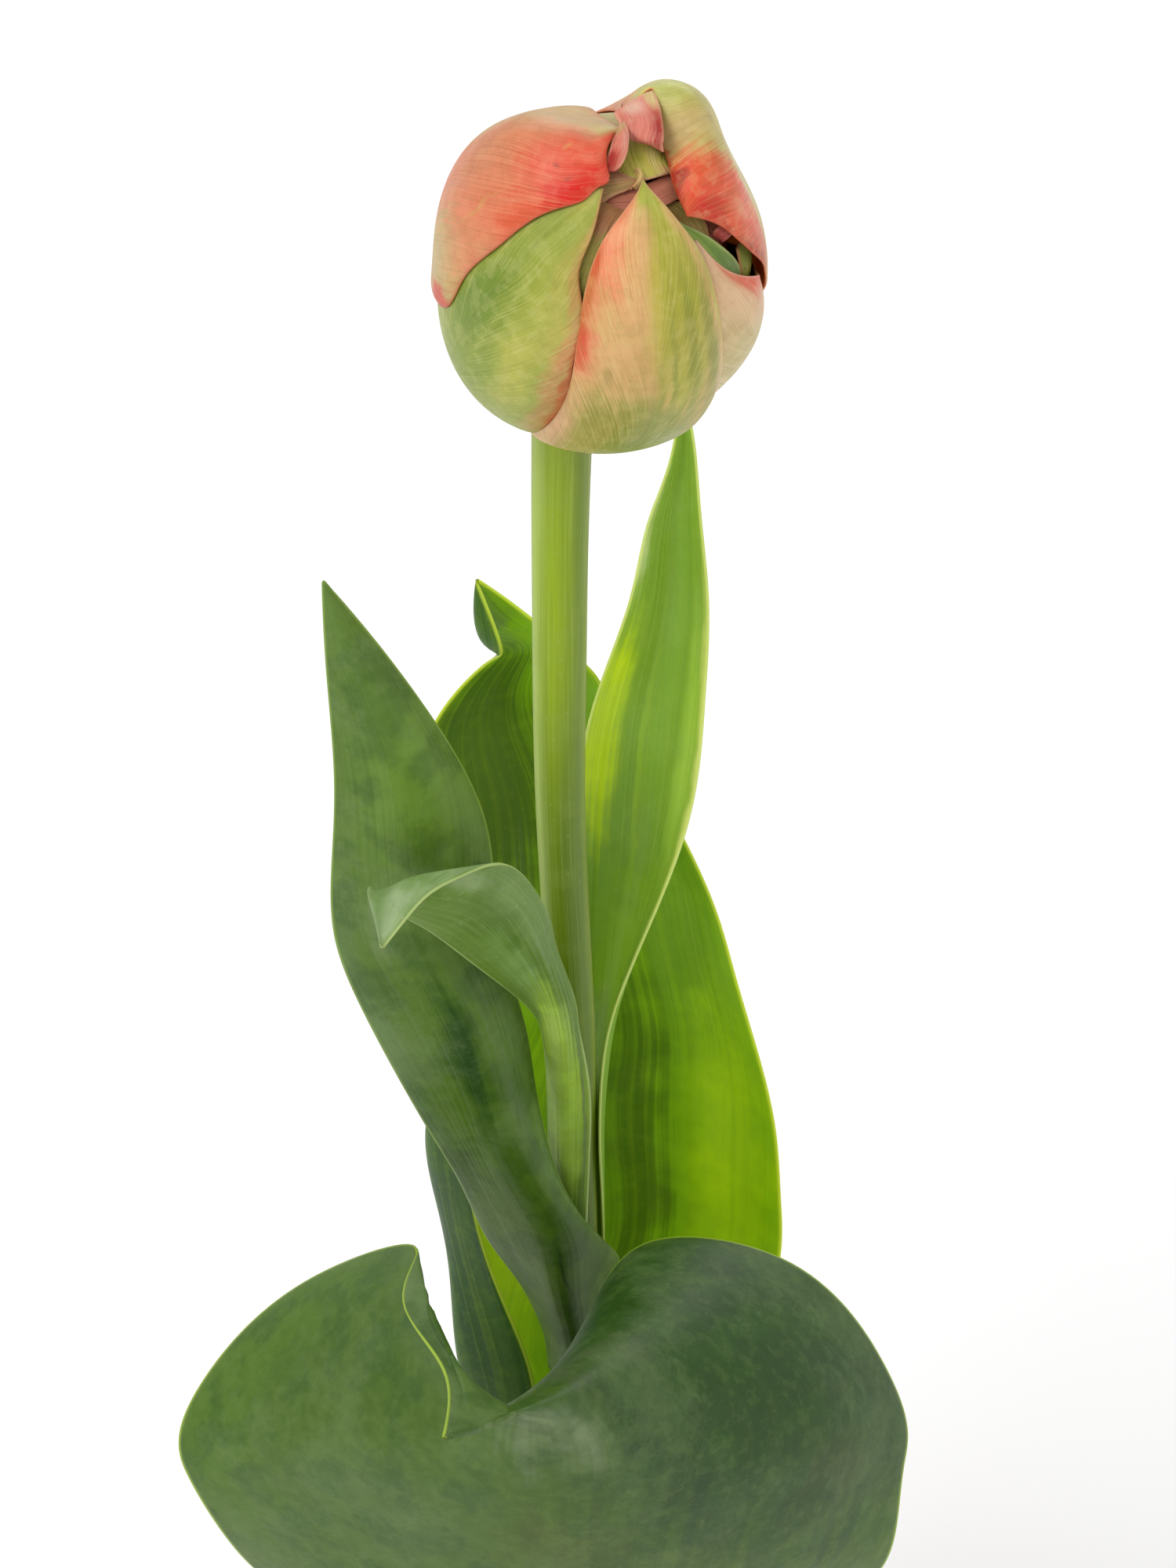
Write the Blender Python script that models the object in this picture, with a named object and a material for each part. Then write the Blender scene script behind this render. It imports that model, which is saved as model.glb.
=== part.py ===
"""Potted tulip: one bulb in a plain clay pot, with its stem, five leaves and a closed double flower.

Everything is in metres, +Z up, with the origin at the centre of the pot's foot. Points and sizes are
written in millimetres and turned into metres by MM. The flower faces the front, which is -Y.
"""

import math

import bmesh
import bpy
import numpy as np
from mathutils import Vector

MM = 0.001
GAP = 0.3

# The pot, the soil in it and the bulb in the soil
POT_HEIGHT = 96.0
POT_FOOT_RADIUS = 37.0
POT_TOP_RADIUS = 50.0
POT_WALL = 4.0
POT_FLOOR = 5.0
RIM_HEIGHT = 20.0
RIM_PROUD = 3.0
RIM_ROUND = 1.5
POT_EDGE = 1.0
DRAIN_COUNT = 3
DRAIN_RADIUS = 4.0
DRAIN_CIRCLE = 22.0
DRAIN_SIDES = 16
POT_SIDES = 48
POT_SHARP = 35.0
SOIL_TOP = 85.0
SOIL_WAVE = 1.2
SOIL_GAP = 0.4
SOIL_RINGS = 6
BULB_GAP = 0.5
BULB_RADIUS = 17.0
BULB_BOTTOM = 46.0
BULB_TOP = 88.0
BULB_NECK_RADIUS = 5.0
BULB_SIDES = 24
BULB_RINGS = 11

# The stem: its path from the bulb's nose to the flower, and its thickness
STEM_FOOT = BULB_TOP + GAP
STEM_PATH = (
    (-1.0, 0.0, STEM_FOOT),
    (-1.0, -0.5, 130.0),
    (-1.2, -1.0, 170.0),
    (-1.6, -2.2, 207.0),
    (-2.0, -4.0, 235.0),
    (-3.0, -6.0, 260.0),
    (-4.0, -9.5, 290.0),
    (-4.0, -13.0, 320.0),
    (-3.8, -16.5, 345.0),
    (-3.3, -20.0, 370.0),
)
STEM_LOW_RADIUS = 3.4
STEM_TOP_RADIUS = 4.5
STEM_SIDES = 16
STEM_RINGS = 22
STEM_SHARP = 50.0
STEM_DOME = ((2.0, 0.93), (4.5, 0.86), (6.5, 0.66), (7.5, 0.25))
CLASP_GAP = 0.6

# The flower: the line that it points along, and the egg shape that its petals close on
FLOWER_CENTRE = Vector((2.0, -34.0, 398.0))
FLOWER_AXIS = Vector((9.9, -26.5, 48.3)).normalized()
FLOWER_LENGTH = 58.0
FLOWER_RADIUS = 23.0
FLOWER_FULLNESS = 0.8
PETAL_THICKNESS = 0.7
LEAF_THICKNESS = 0.8


def clear_scene():
    for thing in list(bpy.data.objects):
        bpy.data.objects.remove(thing, do_unlink=True)


def material(name, colour, roughness):
    made = bpy.data.materials.new(name)
    made.use_nodes = True
    shader = made.node_tree.nodes["Principled BSDF"]
    shader.inputs["Base Color"].default_value = (*colour, 1.0)
    shader.inputs["Roughness"].default_value = roughness
    shader.inputs["Metallic"].default_value = 0.0
    made.diffuse_color = (*colour, 1.0)
    return made


def smooth_rows(rows, count, steps=None):
    """The natural cubic spline through the rows, read at `count` even steps of its length.

    The length between rows is `steps`, or else the distance that the rows' middle points are apart.
    """
    rows = np.asarray(rows, float)
    flat = rows.reshape(len(rows), -1)
    if steps is None:
        middle = rows[:, rows.shape[1] // 2] if rows.ndim == 3 else rows
        steps = np.linalg.norm(np.diff(middle, axis=0), axis=1)
    knots = np.concatenate([[0.0], np.cumsum(steps)])
    size = len(knots)
    system = np.eye(size)
    bend = np.zeros_like(flat)
    for i in range(1, size - 1):
        before, after = steps[i - 1], steps[i]
        system[i, i - 1 : i + 2] = before, 2 * (before + after), after
        bend[i] = 6 * ((flat[i + 1] - flat[i]) / after - (flat[i] - flat[i - 1]) / before)
    second = np.linalg.solve(system, bend)
    reads = np.linspace(0.0, knots[-1], count)
    at = np.clip(np.searchsorted(knots, reads, side="right") - 1, 0, size - 2)
    width = steps[at][:, None]
    left = (knots[at + 1] - reads)[:, None]
    right = (reads - knots[at])[:, None]
    found = (
        second[at] * left**3 / (6 * width)
        + second[at + 1] * right**3 / (6 * width)
        + (flat[at] / width - second[at] * width / 6) * left
        + (flat[at + 1] / width - second[at + 1] * width / 6) * right
    )
    return found.reshape((count, *rows.shape[1:]))


def leaf_surface(net, along, across):
    """A grid of points: the net's rows made smooth from foot to tip, then each row from side to side."""
    lengthwise = smooth_rows(net, along)
    return np.stack([across_row(row, across) for row in lengthwise])


def across_row(row, count):
    """One row's points from margin to margin. A row that has shrunk to the tip stays one point."""
    if np.linalg.norm(row[-1] - row[0]) < 1e-6:
        return np.repeat(row[:1], count, axis=0)
    return smooth_rows(row, count)


def flower_point(height, turn, lift):
    """A point near the egg shape of the flower.

    height goes from 0 at its foot to 1 at its apex, turn is the angle round its axis in degrees, with
    -90 at the front and 0 on the right, and lift is how far the point stands off the egg outwards.
    """
    side = (Vector((1, 0, 0)) - FLOWER_AXIS * FLOWER_AXIS.x).normalized()
    back = FLOWER_AXIS.cross(side)
    angle = math.pi * height
    along = -0.5 * FLOWER_LENGTH * math.cos(angle)
    radius = FLOWER_RADIUS * math.sin(angle) ** FLOWER_FULLNESS
    slope = 0.5 * FLOWER_LENGTH * math.sin(angle)
    climb = FLOWER_RADIUS * FLOWER_FULLNESS * math.cos(angle) / math.sin(angle) ** (1 - FLOWER_FULLNESS)
    steep = math.hypot(slope, climb)
    radius += lift * slope / steep
    along -= lift * climb / steep
    sideways = side * math.cos(math.radians(turn)) + back * math.sin(math.radians(turn))
    return FLOWER_CENTRE + FLOWER_AXIS * along + sideways * radius


def petal_surface(stations, along, across):
    """A grid of points for one petal.

    Each station is a height, the turns of its left and right margins, and the lifts at even steps from
    the left margin to the right one, as flower_point takes them.
    """
    heights = np.array([station[0] for station in stations])
    read = smooth_rows(stations, along, np.diff(heights))
    grid = np.empty((along, across, 3))
    for i, (height, left, right, *lifts) in enumerate(read):
        turns = np.linspace(left, right, across)
        spread = smooth_rows(np.array(lifts)[:, None], across, np.ones(len(lifts) - 1))
        for j, (turn, lift) in enumerate(zip(turns, spread[:, 0])):
            grid[i, j] = flower_point(height, turn, lift)
    return grid


def petal_net(net, along, across):
    """A grid of points for a petal whose net is given as flower_point's heights, turns and lifts."""
    return leaf_surface([[flower_point(*spot) for spot in row] for row in net], along, across)


def blade(name, grid, thickness, finish):
    """A thin closed solid on a grid of points, split into triangles before it gets its thickness."""
    along, across = grid.shape[:2]
    mesh = bpy.data.meshes.new(name)
    corners = [tuple(point * MM) for point in grid.reshape(-1, 3)]
    faces = [
        (i * across + j, i * across + j + 1, (i + 1) * across + j + 1, (i + 1) * across + j)
        for i in range(along - 1)
        for j in range(across - 1)
    ]
    mesh.from_pydata(corners, [], faces)
    shape = bmesh.new()
    shape.from_mesh(mesh)
    bmesh.ops.remove_doubles(shape, verts=shape.verts, dist=1e-6)
    bmesh.ops.triangulate(shape, faces=shape.faces)
    shape.to_mesh(mesh)
    shape.free()
    mesh.shade_smooth()
    mesh.materials.append(finish)
    piece = bpy.data.objects.new(name, mesh)
    bpy.context.collection.objects.link(piece)
    solid = piece.modifiers.new("Thickness", "SOLIDIFY")
    solid.thickness = thickness * MM
    solid.offset = 0.0
    solid.use_rim = True
    return piece


def turned(name, profile, sides, finish):
    """A closed solid of revolution about Z from a profile that starts and ends on the axis."""
    shape = bmesh.new()
    rings = []
    for radius, height in profile:
        if radius == 0:
            rings.append([shape.verts.new((0, 0, height * MM))])
            continue
        turns = [2 * math.pi * k / sides for k in range(sides)]
        spots = [Vector((radius * math.cos(a), radius * math.sin(a), height)) for a in turns]
        rings.append([shape.verts.new(spot * MM) for spot in spots])
    for lower, upper in zip(rings, rings[1:]):
        for k in range(sides):
            pair = (k, (k + 1) % sides)
            ends = [lower[i] for i in pair] if len(lower) > 1 else [lower[0]]
            tops = [upper[i] for i in reversed(pair)] if len(upper) > 1 else [upper[0]]
            shape.faces.new(ends + tops)
    bmesh.ops.recalc_face_normals(shape, faces=shape.faces)
    mesh = bpy.data.meshes.new(name)
    shape.to_mesh(mesh)
    shape.free()
    mesh.shade_smooth()
    mesh.set_sharp_from_angle(angle=math.radians(POT_SHARP))
    mesh.materials.append(finish)
    piece = bpy.data.objects.new(name, mesh)
    bpy.context.collection.objects.link(piece)
    return piece


def pot_inner_radius(height):
    share = (height - POT_FLOOR) / (POT_HEIGHT - POT_FLOOR)
    foot = POT_FOOT_RADIUS - POT_WALL
    return foot + (POT_TOP_RADIUS - POT_WALL - foot) * share


def build_pot(finish):
    """A tapered clay pot with a thick rim, and drain holes round the middle of its floor."""
    below_rim = POT_HEIGHT - RIM_HEIGHT
    outer_below_rim = POT_FOOT_RADIUS + (POT_TOP_RADIUS - POT_FOOT_RADIUS) * below_rim / POT_HEIGHT
    profile = [
        (0, 0),
        (POT_FOOT_RADIUS - POT_EDGE, 0),
        (POT_FOOT_RADIUS, POT_EDGE),
        (outer_below_rim, below_rim),
        (outer_below_rim + RIM_PROUD, below_rim + POT_EDGE),
        (POT_TOP_RADIUS + RIM_PROUD, POT_HEIGHT - RIM_ROUND),
        (POT_TOP_RADIUS + RIM_PROUD - RIM_ROUND, POT_HEIGHT),
        (POT_TOP_RADIUS - POT_WALL + RIM_ROUND, POT_HEIGHT),
        (POT_TOP_RADIUS - POT_WALL, POT_HEIGHT - RIM_ROUND),
        (pot_inner_radius(POT_FLOOR), POT_FLOOR),
        (0, POT_FLOOR),
    ]
    pot = turned("pot", profile, POT_SIDES, finish)
    drills = bpy.data.collections.new("drills")
    bpy.context.scene.collection.children.link(drills)
    for k in range(DRAIN_COUNT):
        angle = 2 * math.pi * k / DRAIN_COUNT + math.pi / 2
        shape = bmesh.new()
        bmesh.ops.create_cone(
            shape,
            cap_ends=True,
            segments=DRAIN_SIDES,
            radius1=DRAIN_RADIUS * MM,
            radius2=DRAIN_RADIUS * MM,
            depth=3 * POT_FLOOR * MM,
        )
        place = Vector((math.cos(angle), math.sin(angle), 0)) * DRAIN_CIRCLE * MM
        bmesh.ops.translate(shape, verts=shape.verts, vec=place)
        mesh = bpy.data.meshes.new(f"drill_{k}")
        shape.to_mesh(mesh)
        shape.free()
        drill = bpy.data.objects.new(mesh.name, mesh)
        drill.hide_render = True
        drill.display_type = "WIRE"
        drills.objects.link(drill)
    cut = pot.modifiers.new("Drain holes", "BOOLEAN")
    cut.operation = "DIFFERENCE"
    cut.operand_type = "COLLECTION"
    cut.collection = drills
    cut.solver = "EXACT"
    return pot


def bulb_radius(height):
    """The bulb's radius: a round belly low down, drawn in to a short neck at its nose."""
    share = (height - BULB_BOTTOM) / (BULB_TOP - BULB_BOTTOM)
    belly = math.sin(math.pi * min(share, 1.0) ** 0.75) ** 0.7 if 0 < share < 1 else 0.0
    return BULB_NECK_RADIUS + (BULB_RADIUS - BULB_NECK_RADIUS) * belly


def build_bulb(finish):
    heights = list(np.linspace(BULB_BOTTOM, SOIL_TOP, BULB_RINGS)) + [BULB_TOP]
    profile = [(0, BULB_BOTTOM)] + [(bulb_radius(z), z) for z in heights] + [(0, BULB_TOP)]
    return turned("bulb", profile, BULB_SIDES, finish)


def soil_height(radius, angle):
    """The soil's top: low waves that die out at the stem and at the pot's wall."""
    edge = pot_inner_radius(SOIL_TOP)
    fade = math.sin(math.pi * min(radius / edge, 1.0))
    wave = math.sin(3 * angle + radius / 7) + 0.7 * math.sin(5 * angle - radius / 4)
    return SOIL_TOP + SOIL_WAVE * fade * wave


def build_soil(finish):
    """Soil that fills the pot, with a pocket for the bulb that is open at the top."""
    top_edge = pot_inner_radius(SOIL_TOP) - SOIL_GAP
    foot_edge = pot_inner_radius(POT_FLOOR) - SOIL_GAP
    pocket = [(bulb_radius(z) + BULB_GAP, z) for z in np.linspace(SOIL_TOP, BULB_BOTTOM, BULB_RINGS)]
    surface = list(np.linspace(top_edge, pocket[0][0], SOIL_RINGS))
    profile = [(0, POT_FLOOR + GAP), (foot_edge, POT_FLOOR + GAP)]
    profile += [(radius, SOIL_TOP) for radius in surface]
    profile += pocket[1:]
    profile += [(pocket[-1][0], BULB_BOTTOM - GAP), (0, BULB_BOTTOM - GAP)]
    soil = turned("soil", profile, POT_SIDES, finish)
    for corner in soil.data.vertices:
        x, y, z = corner.co / MM
        radius = math.hypot(x, y)
        if abs(z - SOIL_TOP) < 1e-3 and surface[-1] + 0.5 < radius < top_edge - 0.5:
            corner.co.z = soil_height(radius, math.atan2(y, x)) * MM
    return soil


def stem_radius(share):
    """The stem grows thicker towards the flower."""
    return STEM_LOW_RADIUS + (STEM_TOP_RADIUS - STEM_LOW_RADIUS) * share**2


def stem_at(height):
    """The stem's centre and its radius at a height."""
    path = smooth_rows(STEM_PATH, 60)
    shares = np.linspace(0.0, 1.0, len(path))
    centre = [np.interp(height, path[:, 2], path[:, k]) for k in range(2)]
    return centre, stem_radius(np.interp(height, path[:, 2], shares))


def build_stem(finish):
    """The stem as a tube of changing radius along its path, with a low dome that carries the petals."""
    path = smooth_rows(STEM_PATH, STEM_RINGS)
    ends = [Vector(point) for point in path]
    foot = flower_foot()
    centres = ends + [foot + FLOWER_AXIS * rise for rise, _ in STEM_DOME]
    shares = np.linspace(0.0, 1.0, len(ends))
    radii = [float(stem_radius(share)) for share in shares]
    radii += [STEM_TOP_RADIUS * shrink for _, shrink in STEM_DOME]
    shape = bmesh.new()
    rings = []
    for i, (centre, radius) in enumerate(zip(centres, radii)):
        onward = centres[min(i + 1, len(centres) - 1)] - centres[max(i - 1, 0)]
        if i == 0:
            onward = Vector((0, 0, 1))
        onward.normalize()
        side = (Vector((1, 0, 0)) - onward * onward.x).normalized()
        back = onward.cross(side)
        ring = []
        for k in range(STEM_SIDES):
            angle = 2 * math.pi * k / STEM_SIDES
            point = centre + (side * math.cos(angle) + back * math.sin(angle)) * radius
            ring.append(shape.verts.new(point * MM))
        rings.append(ring)
    for lower, upper in zip(rings, rings[1:]):
        for k in range(STEM_SIDES):
            nxt = (k + 1) % STEM_SIDES
            shape.faces.new((lower[k], lower[nxt], upper[nxt], upper[k]))
    shape.faces.new(list(reversed(rings[0])))
    shape.faces.new(rings[-1])
    bmesh.ops.recalc_face_normals(shape, faces=shape.faces)
    mesh = bpy.data.meshes.new("stem")
    shape.to_mesh(mesh)
    shape.free()
    mesh.shade_smooth()
    mesh.set_sharp_from_angle(angle=math.radians(STEM_SHARP))
    mesh.materials.append(finish)
    piece = bpy.data.objects.new("stem", mesh)
    bpy.context.collection.objects.link(piece)
    return piece


def flower_foot():
    return FLOWER_CENTRE - FLOWER_AXIS * (0.5 * FLOWER_LENGTH)


def clasp(height, start, end, count):
    """A row of points that hugs the stem at one height, from one angle round it to another."""
    centre, radius = stem_at(height)
    reach = radius + CLASP_GAP + 0.5 * LEAF_THICKNESS
    angles = np.radians(np.linspace(start, end, count))
    return [(centre[0] + reach * math.cos(a), centre[1] + reach * math.sin(a), height) for a in angles]


# Leaf nets: rows from foot to tip, and in each row points from the left margin to the right one
def front_leaf():
    """The low broad leaf: it stands out to the front, and its tip is bent over towards the left."""
    return [
        clasp(89.5, 180, 360, 5),
        [(-22, -12, 108), (-12, -19, 107), (-1, -21, 106), (10, -18, 107), (19, -11, 108)],
        [(-43, -29, 130), (-22, -40, 134), (-1, -42, 134), (19, -38, 133), (39, -26, 129)],
        [(-57, -40, 153), (-29, -55, 162), (-2, -58, 163), (25, -53, 161), (51, -36, 150)],
        [(-66, -42, 176), (-34, -60, 190), (-2, -67, 191), (28, -58, 187), (54, -34, 171)],
        [(-63, -34, 190), (-33, -58, 206), (-3, -71, 209), (27, -52, 204), (50, -26, 186)],
        [(-46, -28, 206), (-31, -50, 216), (-7, -74, 218), (18, -44, 212), (34, -20, 203)],
        [(-28, -34, 219), (-25, -54, 222), (-11, -78, 224), (5, -52, 216), (13, -22, 210)],
        [(-29, -50, 221), (-21, -66, 224), (-15, -84, 228), (-5, -66, 219), (2, -34, 208)],
        [(-22, -70, 225), (-19, -79, 227), (-17, -90, 231), (-13, -81, 226), (-7, -60, 212)],
        [(-21.2, -93, 233), (-21.1, -93.5, 233), (-21, -94, 233.5), (-20.8, -93.5, 233), (-20.6, -93, 233)],
    ]


def left_leaf():
    """The tall leaf on the left: it wraps the stem's front and leans out to a narrow tip."""
    return [
        [(-6.6, -0.5, 162), (-1.2, -6.8, 163), (4.8, 0, 162)],
        [(-7.5, 1, 169), (-2, -8.5, 176), (4.9, 1, 171)],
        [(-11, 0, 180), (-4, -11, 188), (5.0, 1.5, 181)],
        [(-17, -4, 195), (-7, -14, 206), (4.7, -2.8, 191)],
        [(-21, -8, 210), (-12, -15, 221), (-3, -10, 209)],
        [(-26, -11, 224), (-15, -15, 236), (-8, -6.5, 226)],
        [(-36, -14, 252), (-23, -18, 258), (-10.5, -8, 246)],
        [(-40, -15, 268), (-27, -19, 274), (-14, -11, 266)],
        [(-39, -15, 297), (-30, -18.5, 303), (-18, -13, 296)],
        [(-39.6, -14, 318), (-35, -16, 320), (-30, -13, 319)],
        [(-39.8, -13, 333), (-39.6, -13, 333.3), (-39.4, -13, 333)],
    ]


def curled_leaf():
    """The small upper leaf: it rises in front of the stem and its tip is folded over to the left."""
    return [
        clasp(188, 185, 285, 3),
        clasp(203, 188, 292, 3),
        clasp(218, 190, 300, 3),
        clasp(232, 194, 300, 3),
        [(-7, -9, 242), (-4, -11, 243), (-1, -9, 243)],
        [(-10, -15, 254), (-7, -18, 261), (-2, -13, 254)],
        [(-18, -25, 270), (-12, -26, 276), (-5, -17, 268)],
        [(-23, -29, 278), (-17, -32, 287), (-7, -21, 279)],
        [(-26, -31, 282), (-20.5, -36, 293), (-12, -28, 291)],
        [(-30, -34, 288), (-27, -39, 296), (-19, -38, 296)],
        [(-33, -37, 293), (-30, -42, 294), (-24, -43, 296)],
        [(-32, -41, 291), (-29.5, -45, 293), (-27, -46, 294)],
        [(-30.7, -49, 291), (-30.5, -49.1, 291), (-30.3, -49, 291)],
    ]


def right_leaf():
    """The tall leaf on the right: its foot lies along the stem, and its tip stands behind the flower."""
    return [
        clasp(190, 82, -8, 3),
        clasp(200, 80, -16, 3),
        clasp(209, 78, -25, 3),
        clasp(218, 76, -30, 3),
        [(0, 5, 228), (3.4, 1.5, 231), (3.2, -4, 236)],
        [(-2, 9, 240), (4, 8, 242), (7, -2, 250)],
        [(-2, 12, 266), (7, 14, 266), (16, 4, 274)],
        [(1, 14, 291), (11, 18, 290), (19, 10, 295)],
        [(7, 16, 311), (14, 20, 309), (19.5, 14, 312)],
        [(10, 18, 325), (14, 20, 325), (18, 16, 328)],
        [(13, 18, 335), (15, 19, 336), (17, 17, 339)],
        [(14.8, 18, 348), (15, 18, 348.3), (15.2, 18, 348)],
    ]


def back_leaf():
    """The large leaf behind the stem: hollow to the front, with its left margin rolled forward low down."""
    return [
        clasp(102, 175, 5, 5),
        [(-14, 1, 127), (-8, 9, 126), (0, 13, 124), (8, 10, 126), (15, 3, 128)],
        [(-9, -2, 155), (-21, 6, 150), (0, 17, 150), (14, 14, 148), (27, 5, 150)],
        [(-15, 4, 175), (-23.5, 10, 174), (2, 21, 172), (20, 19, 173), (34, 10, 177)],
        [(-27, 12, 205), (-15, 18, 203), (3, 24, 203), (20, 22, 205), (32.5, 11, 206)],
        [(-30, 17, 234), (-17, 23, 236), (0, 27, 238), (14, 23, 240), (25, 14, 238)],
        [(-28, 19, 266), (-16, 24, 267), (-4, 27, 268), (8, 24, 266), (16, 17, 264)],
        [(-23, 20, 288), (-16, 23, 289), (-9, 24, 290), (-3, 23, 291), (3, 20, 291)],
        [(-15.3, 17, 299), (-12.5, 19, 299.5), (-8.5, 20, 300), (-4.5, 19.5, 299), (-1, 19, 298)],
        [(-13.4, 13.5, 303), (-16, 16.5, 303), (-13.3, 19, 304.5), (-10, 19, 305), (-8, 18.5, 305.5)],
        [(-17.4, 16, 315), (-17.3, 16, 315), (-17.2, 16, 315.1), (-17.1, 16, 315), (-17, 16, 315)],
    ]


# Petal stations, from foot to tip: height, left turn, right turn, then lifts from left margin to right
OUTER_LEFT_PETAL = (
    (0.05, 125, 205, -0.1, -0.1, -0.1, -0.1, -0.1),
    (0.15, 122, 205, 0.0, 0.1, 0.2, 0.1, 0.0),
    (0.28, 118, 196, -0.3, 0.1, 0.2, 0.1, -0.2),
    (0.38, 115, 193, -0.5, -0.1, 0.1, 0.0, -0.2),
    (0.46, 113, 198, -0.9, -0.2, 0.3, -0.2, -0.1),
    (0.59, 112, 204, -2.0, -0.1, 0.9, 0.5, 0.1),
    (0.71, 112, 210, -3.8, -1.0, 1.1, 0.9, 0.2),
    (0.80, 112, 215, -4.0, -0.9, 1.5, 1.1, 0.3),
    (0.87, 113, 226, -3.0, 0.2, 1.8, 1.1, 0.4),
    (0.91, 113, 230, -1.6, 1.2, 1.7, 0.9, 0.2),
    (0.955, 112, 222, -0.1, 0.8, 0.9, 0.2, -0.8),
)
INNER_LEFT_PETAL = (
    (0.052, 175, 255, -1.3, -1.3, -1.3),
    (0.15, 172, 252, -1.7, -1.2, -2.0),
    (0.28, 174, 252, -2.0, -1.0, -2.0),
    (0.38, 174, 252, -2.6, -1.0, -1.6),
    (0.50, 176, 254, -2.9, -0.8, -1.2),
    (0.60, 182, 253, -2.8, -0.7, -1.2),
    (0.70, 192, 249, -2.5, -0.5, -1.2),
    (0.78, 203, 244, -2.2, -0.6, -1.1),
    (0.85, 216, 240, -1.8, -0.8, -0.9),
    (0.92, 231.5, 232.5, -0.5, -0.5, -0.5),
)
OUTER_FRONT_PETAL = (
    (0.05, -115, -35, -0.1, -0.1, -0.1),
    (0.15, -118, -38, -0.5, -0.4, 0.6),
    (0.28, -112, -42, -0.6, 0.1, 1.8),
    (0.38, -106, -43, -0.4, 0.7, 1.5),
    (0.50, -103, -44, -0.9, 0.6, 0.6),
    (0.60, -103, -46, -1.1, 0.4, 0.3),
    (0.70, -107, -48, -1.1, 0.3, 0.0),
    (0.78, -109, -50, -1.0, 0.2, 0.0),
    (0.84, -105, -54, -0.8, 0.1, 0.0),
    (0.90, -96, -62, -0.5, 0.0, 0.0),
    (0.955, -84.5, -83.5, 0.0, 0.0, 0.0),
)
INNER_RIGHT_PETAL = (
    (0.052, -55, 25, -1.3, -1.3, -1.3, -1.3, -1.3),
    (0.15, -58, 28, -1.4, -1.0, -0.9, -1.2, -1.6),
    (0.28, -60, 28, -1.4, -0.3, 0.7, -0.6, -1.9),
    (0.38, -60, 27, -1.5, -0.5, 0.8, -0.6, -2.4),
    (0.46, -60, 22, -1.5, -0.5, 0.7, -0.7, -2.6),
    (0.53, -60, 6, -1.5, -0.9, 0.5, -0.3, -2.3),
    (0.58, -59, -8, -1.6, -1.1, 0.3, 0.0, -1.7),
    (0.63, -58, -18, -1.6, -1.0, -0.1, 0.1, -0.6),
    (0.70, -56, -33, -1.6, -1.1, -0.6, -0.4, -0.6),
    (0.76, -54, -43, -1.5, -1.1, -0.9, -0.8, -0.8),
    (0.82, -50, -49, -1.2, -1.1, -1.1, -1.1, -1.1),
)
INNER_BACK_PETAL = (
    (0.052, 65, 145, -1.3, -1.3, -1.3),
    (0.15, 62, 148, -1.6, -1.2, -1.6),
    (0.28, 60, 150, -1.7, -1.5, -1.7),
    (0.38, 60, 150, -1.7, -1.8, -1.8),
    (0.50, 62, 150, -2.0, -2.6, -2.2),
    (0.60, 64, 150, -2.6, -4.0, -2.8),
    (0.70, 66, 148, -3.2, -5.3, -3.4),
    (0.80, 70, 142, -3.4, -5.4, -3.6),
    (0.88, 80, 130, -4.0, -4.6, -4.0),
    (0.92, 100, 104, -4.0, -4.0, -4.0),
)
CORE_LEFT_PETAL = (
    (0.05, 165, 222, -3.0, -3.0, -3.0),
    (0.20, 158, 232, -5.2, -4.8, -5.2),
    (0.50, 155, 234, -6.2, -6.0, -6.2),
    (0.75, 158, 234, -6.2, -6.0, -6.2),
    (0.88, 165, 231, -5.8, -5.0, -5.4),
    (0.92, 172, 238, -5.6, -4.6, -4.4),
    (0.95, 186, 250, -5.4, -4.4, -4.0),
    (0.968, 215, 272, -5.0, -4.4, -4.0),
)
CORE_FRONT_PETAL = (
    (0.05, 238, 272, -3.0, -3.0, -3.0),
    (0.20, 218, 274, -3.2, -2.9, -3.2),
    (0.50, 215, 276, -3.4, -3.0, -3.4),
    (0.76, 222, 276, -3.4, -3.0, -3.4),
    (0.84, 230, 272, -3.2, -2.9, -3.2),
    (0.885, 236, 266, -3.0, -2.8, -3.0),
    (0.903, 247, 261, -2.8, -2.7, -2.8),
)
CORE_MIDDLE_PETAL = (
    (0.05, -66, -36, -5.2, -5.2, -5.2),
    (0.20, -76, -32, -4.9, -4.7, -4.9),
    (0.50, -80, -30, -4.8, -4.5, -4.8),
    (0.80, -80, -31, -4.6, -4.2, -4.5),
    (0.87, -78, -42, -4.4, -4.1, -4.3),
    (0.91, -72, -50, -4.2, -4.2, -4.2),
)
CORE_RIGHT_PETAL = (
    (0.05, -70, -34, -3.0, -3.0, -3.0),
    (0.20, -74, -24, -2.9, -2.7, -3.0),
    (0.50, -74, -20, -2.9, -2.6, -3.0),
    (0.60, -74, -19, -2.9, -2.5, -2.9),
    (0.66, -72, -21, -3.0, -2.6, -2.8),
    (0.76, -70, -31, -3.0, -2.6, -2.6),
    (0.82, -66, -40, -2.9, -2.5, -2.6),
    (0.865, -54, -51, -2.7, -2.6, -2.6),
)
CORE_FAR_PETAL = (
    (0.05, -14, 36, -3.2, -3.2, -3.2),
    (0.20, -12, 42, -4.2, -4.2, -4.6),
    (0.50, -9, 40, -3.8, -4.6, -5.0),
    (0.62, -11, 24, -3.5, -3.8, -4.6),
    (0.70, -16, 6, -3.3, -3.4, -3.8),
    (0.745, -20, -9, -3.1, -3.1, -3.1),
)

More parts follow.
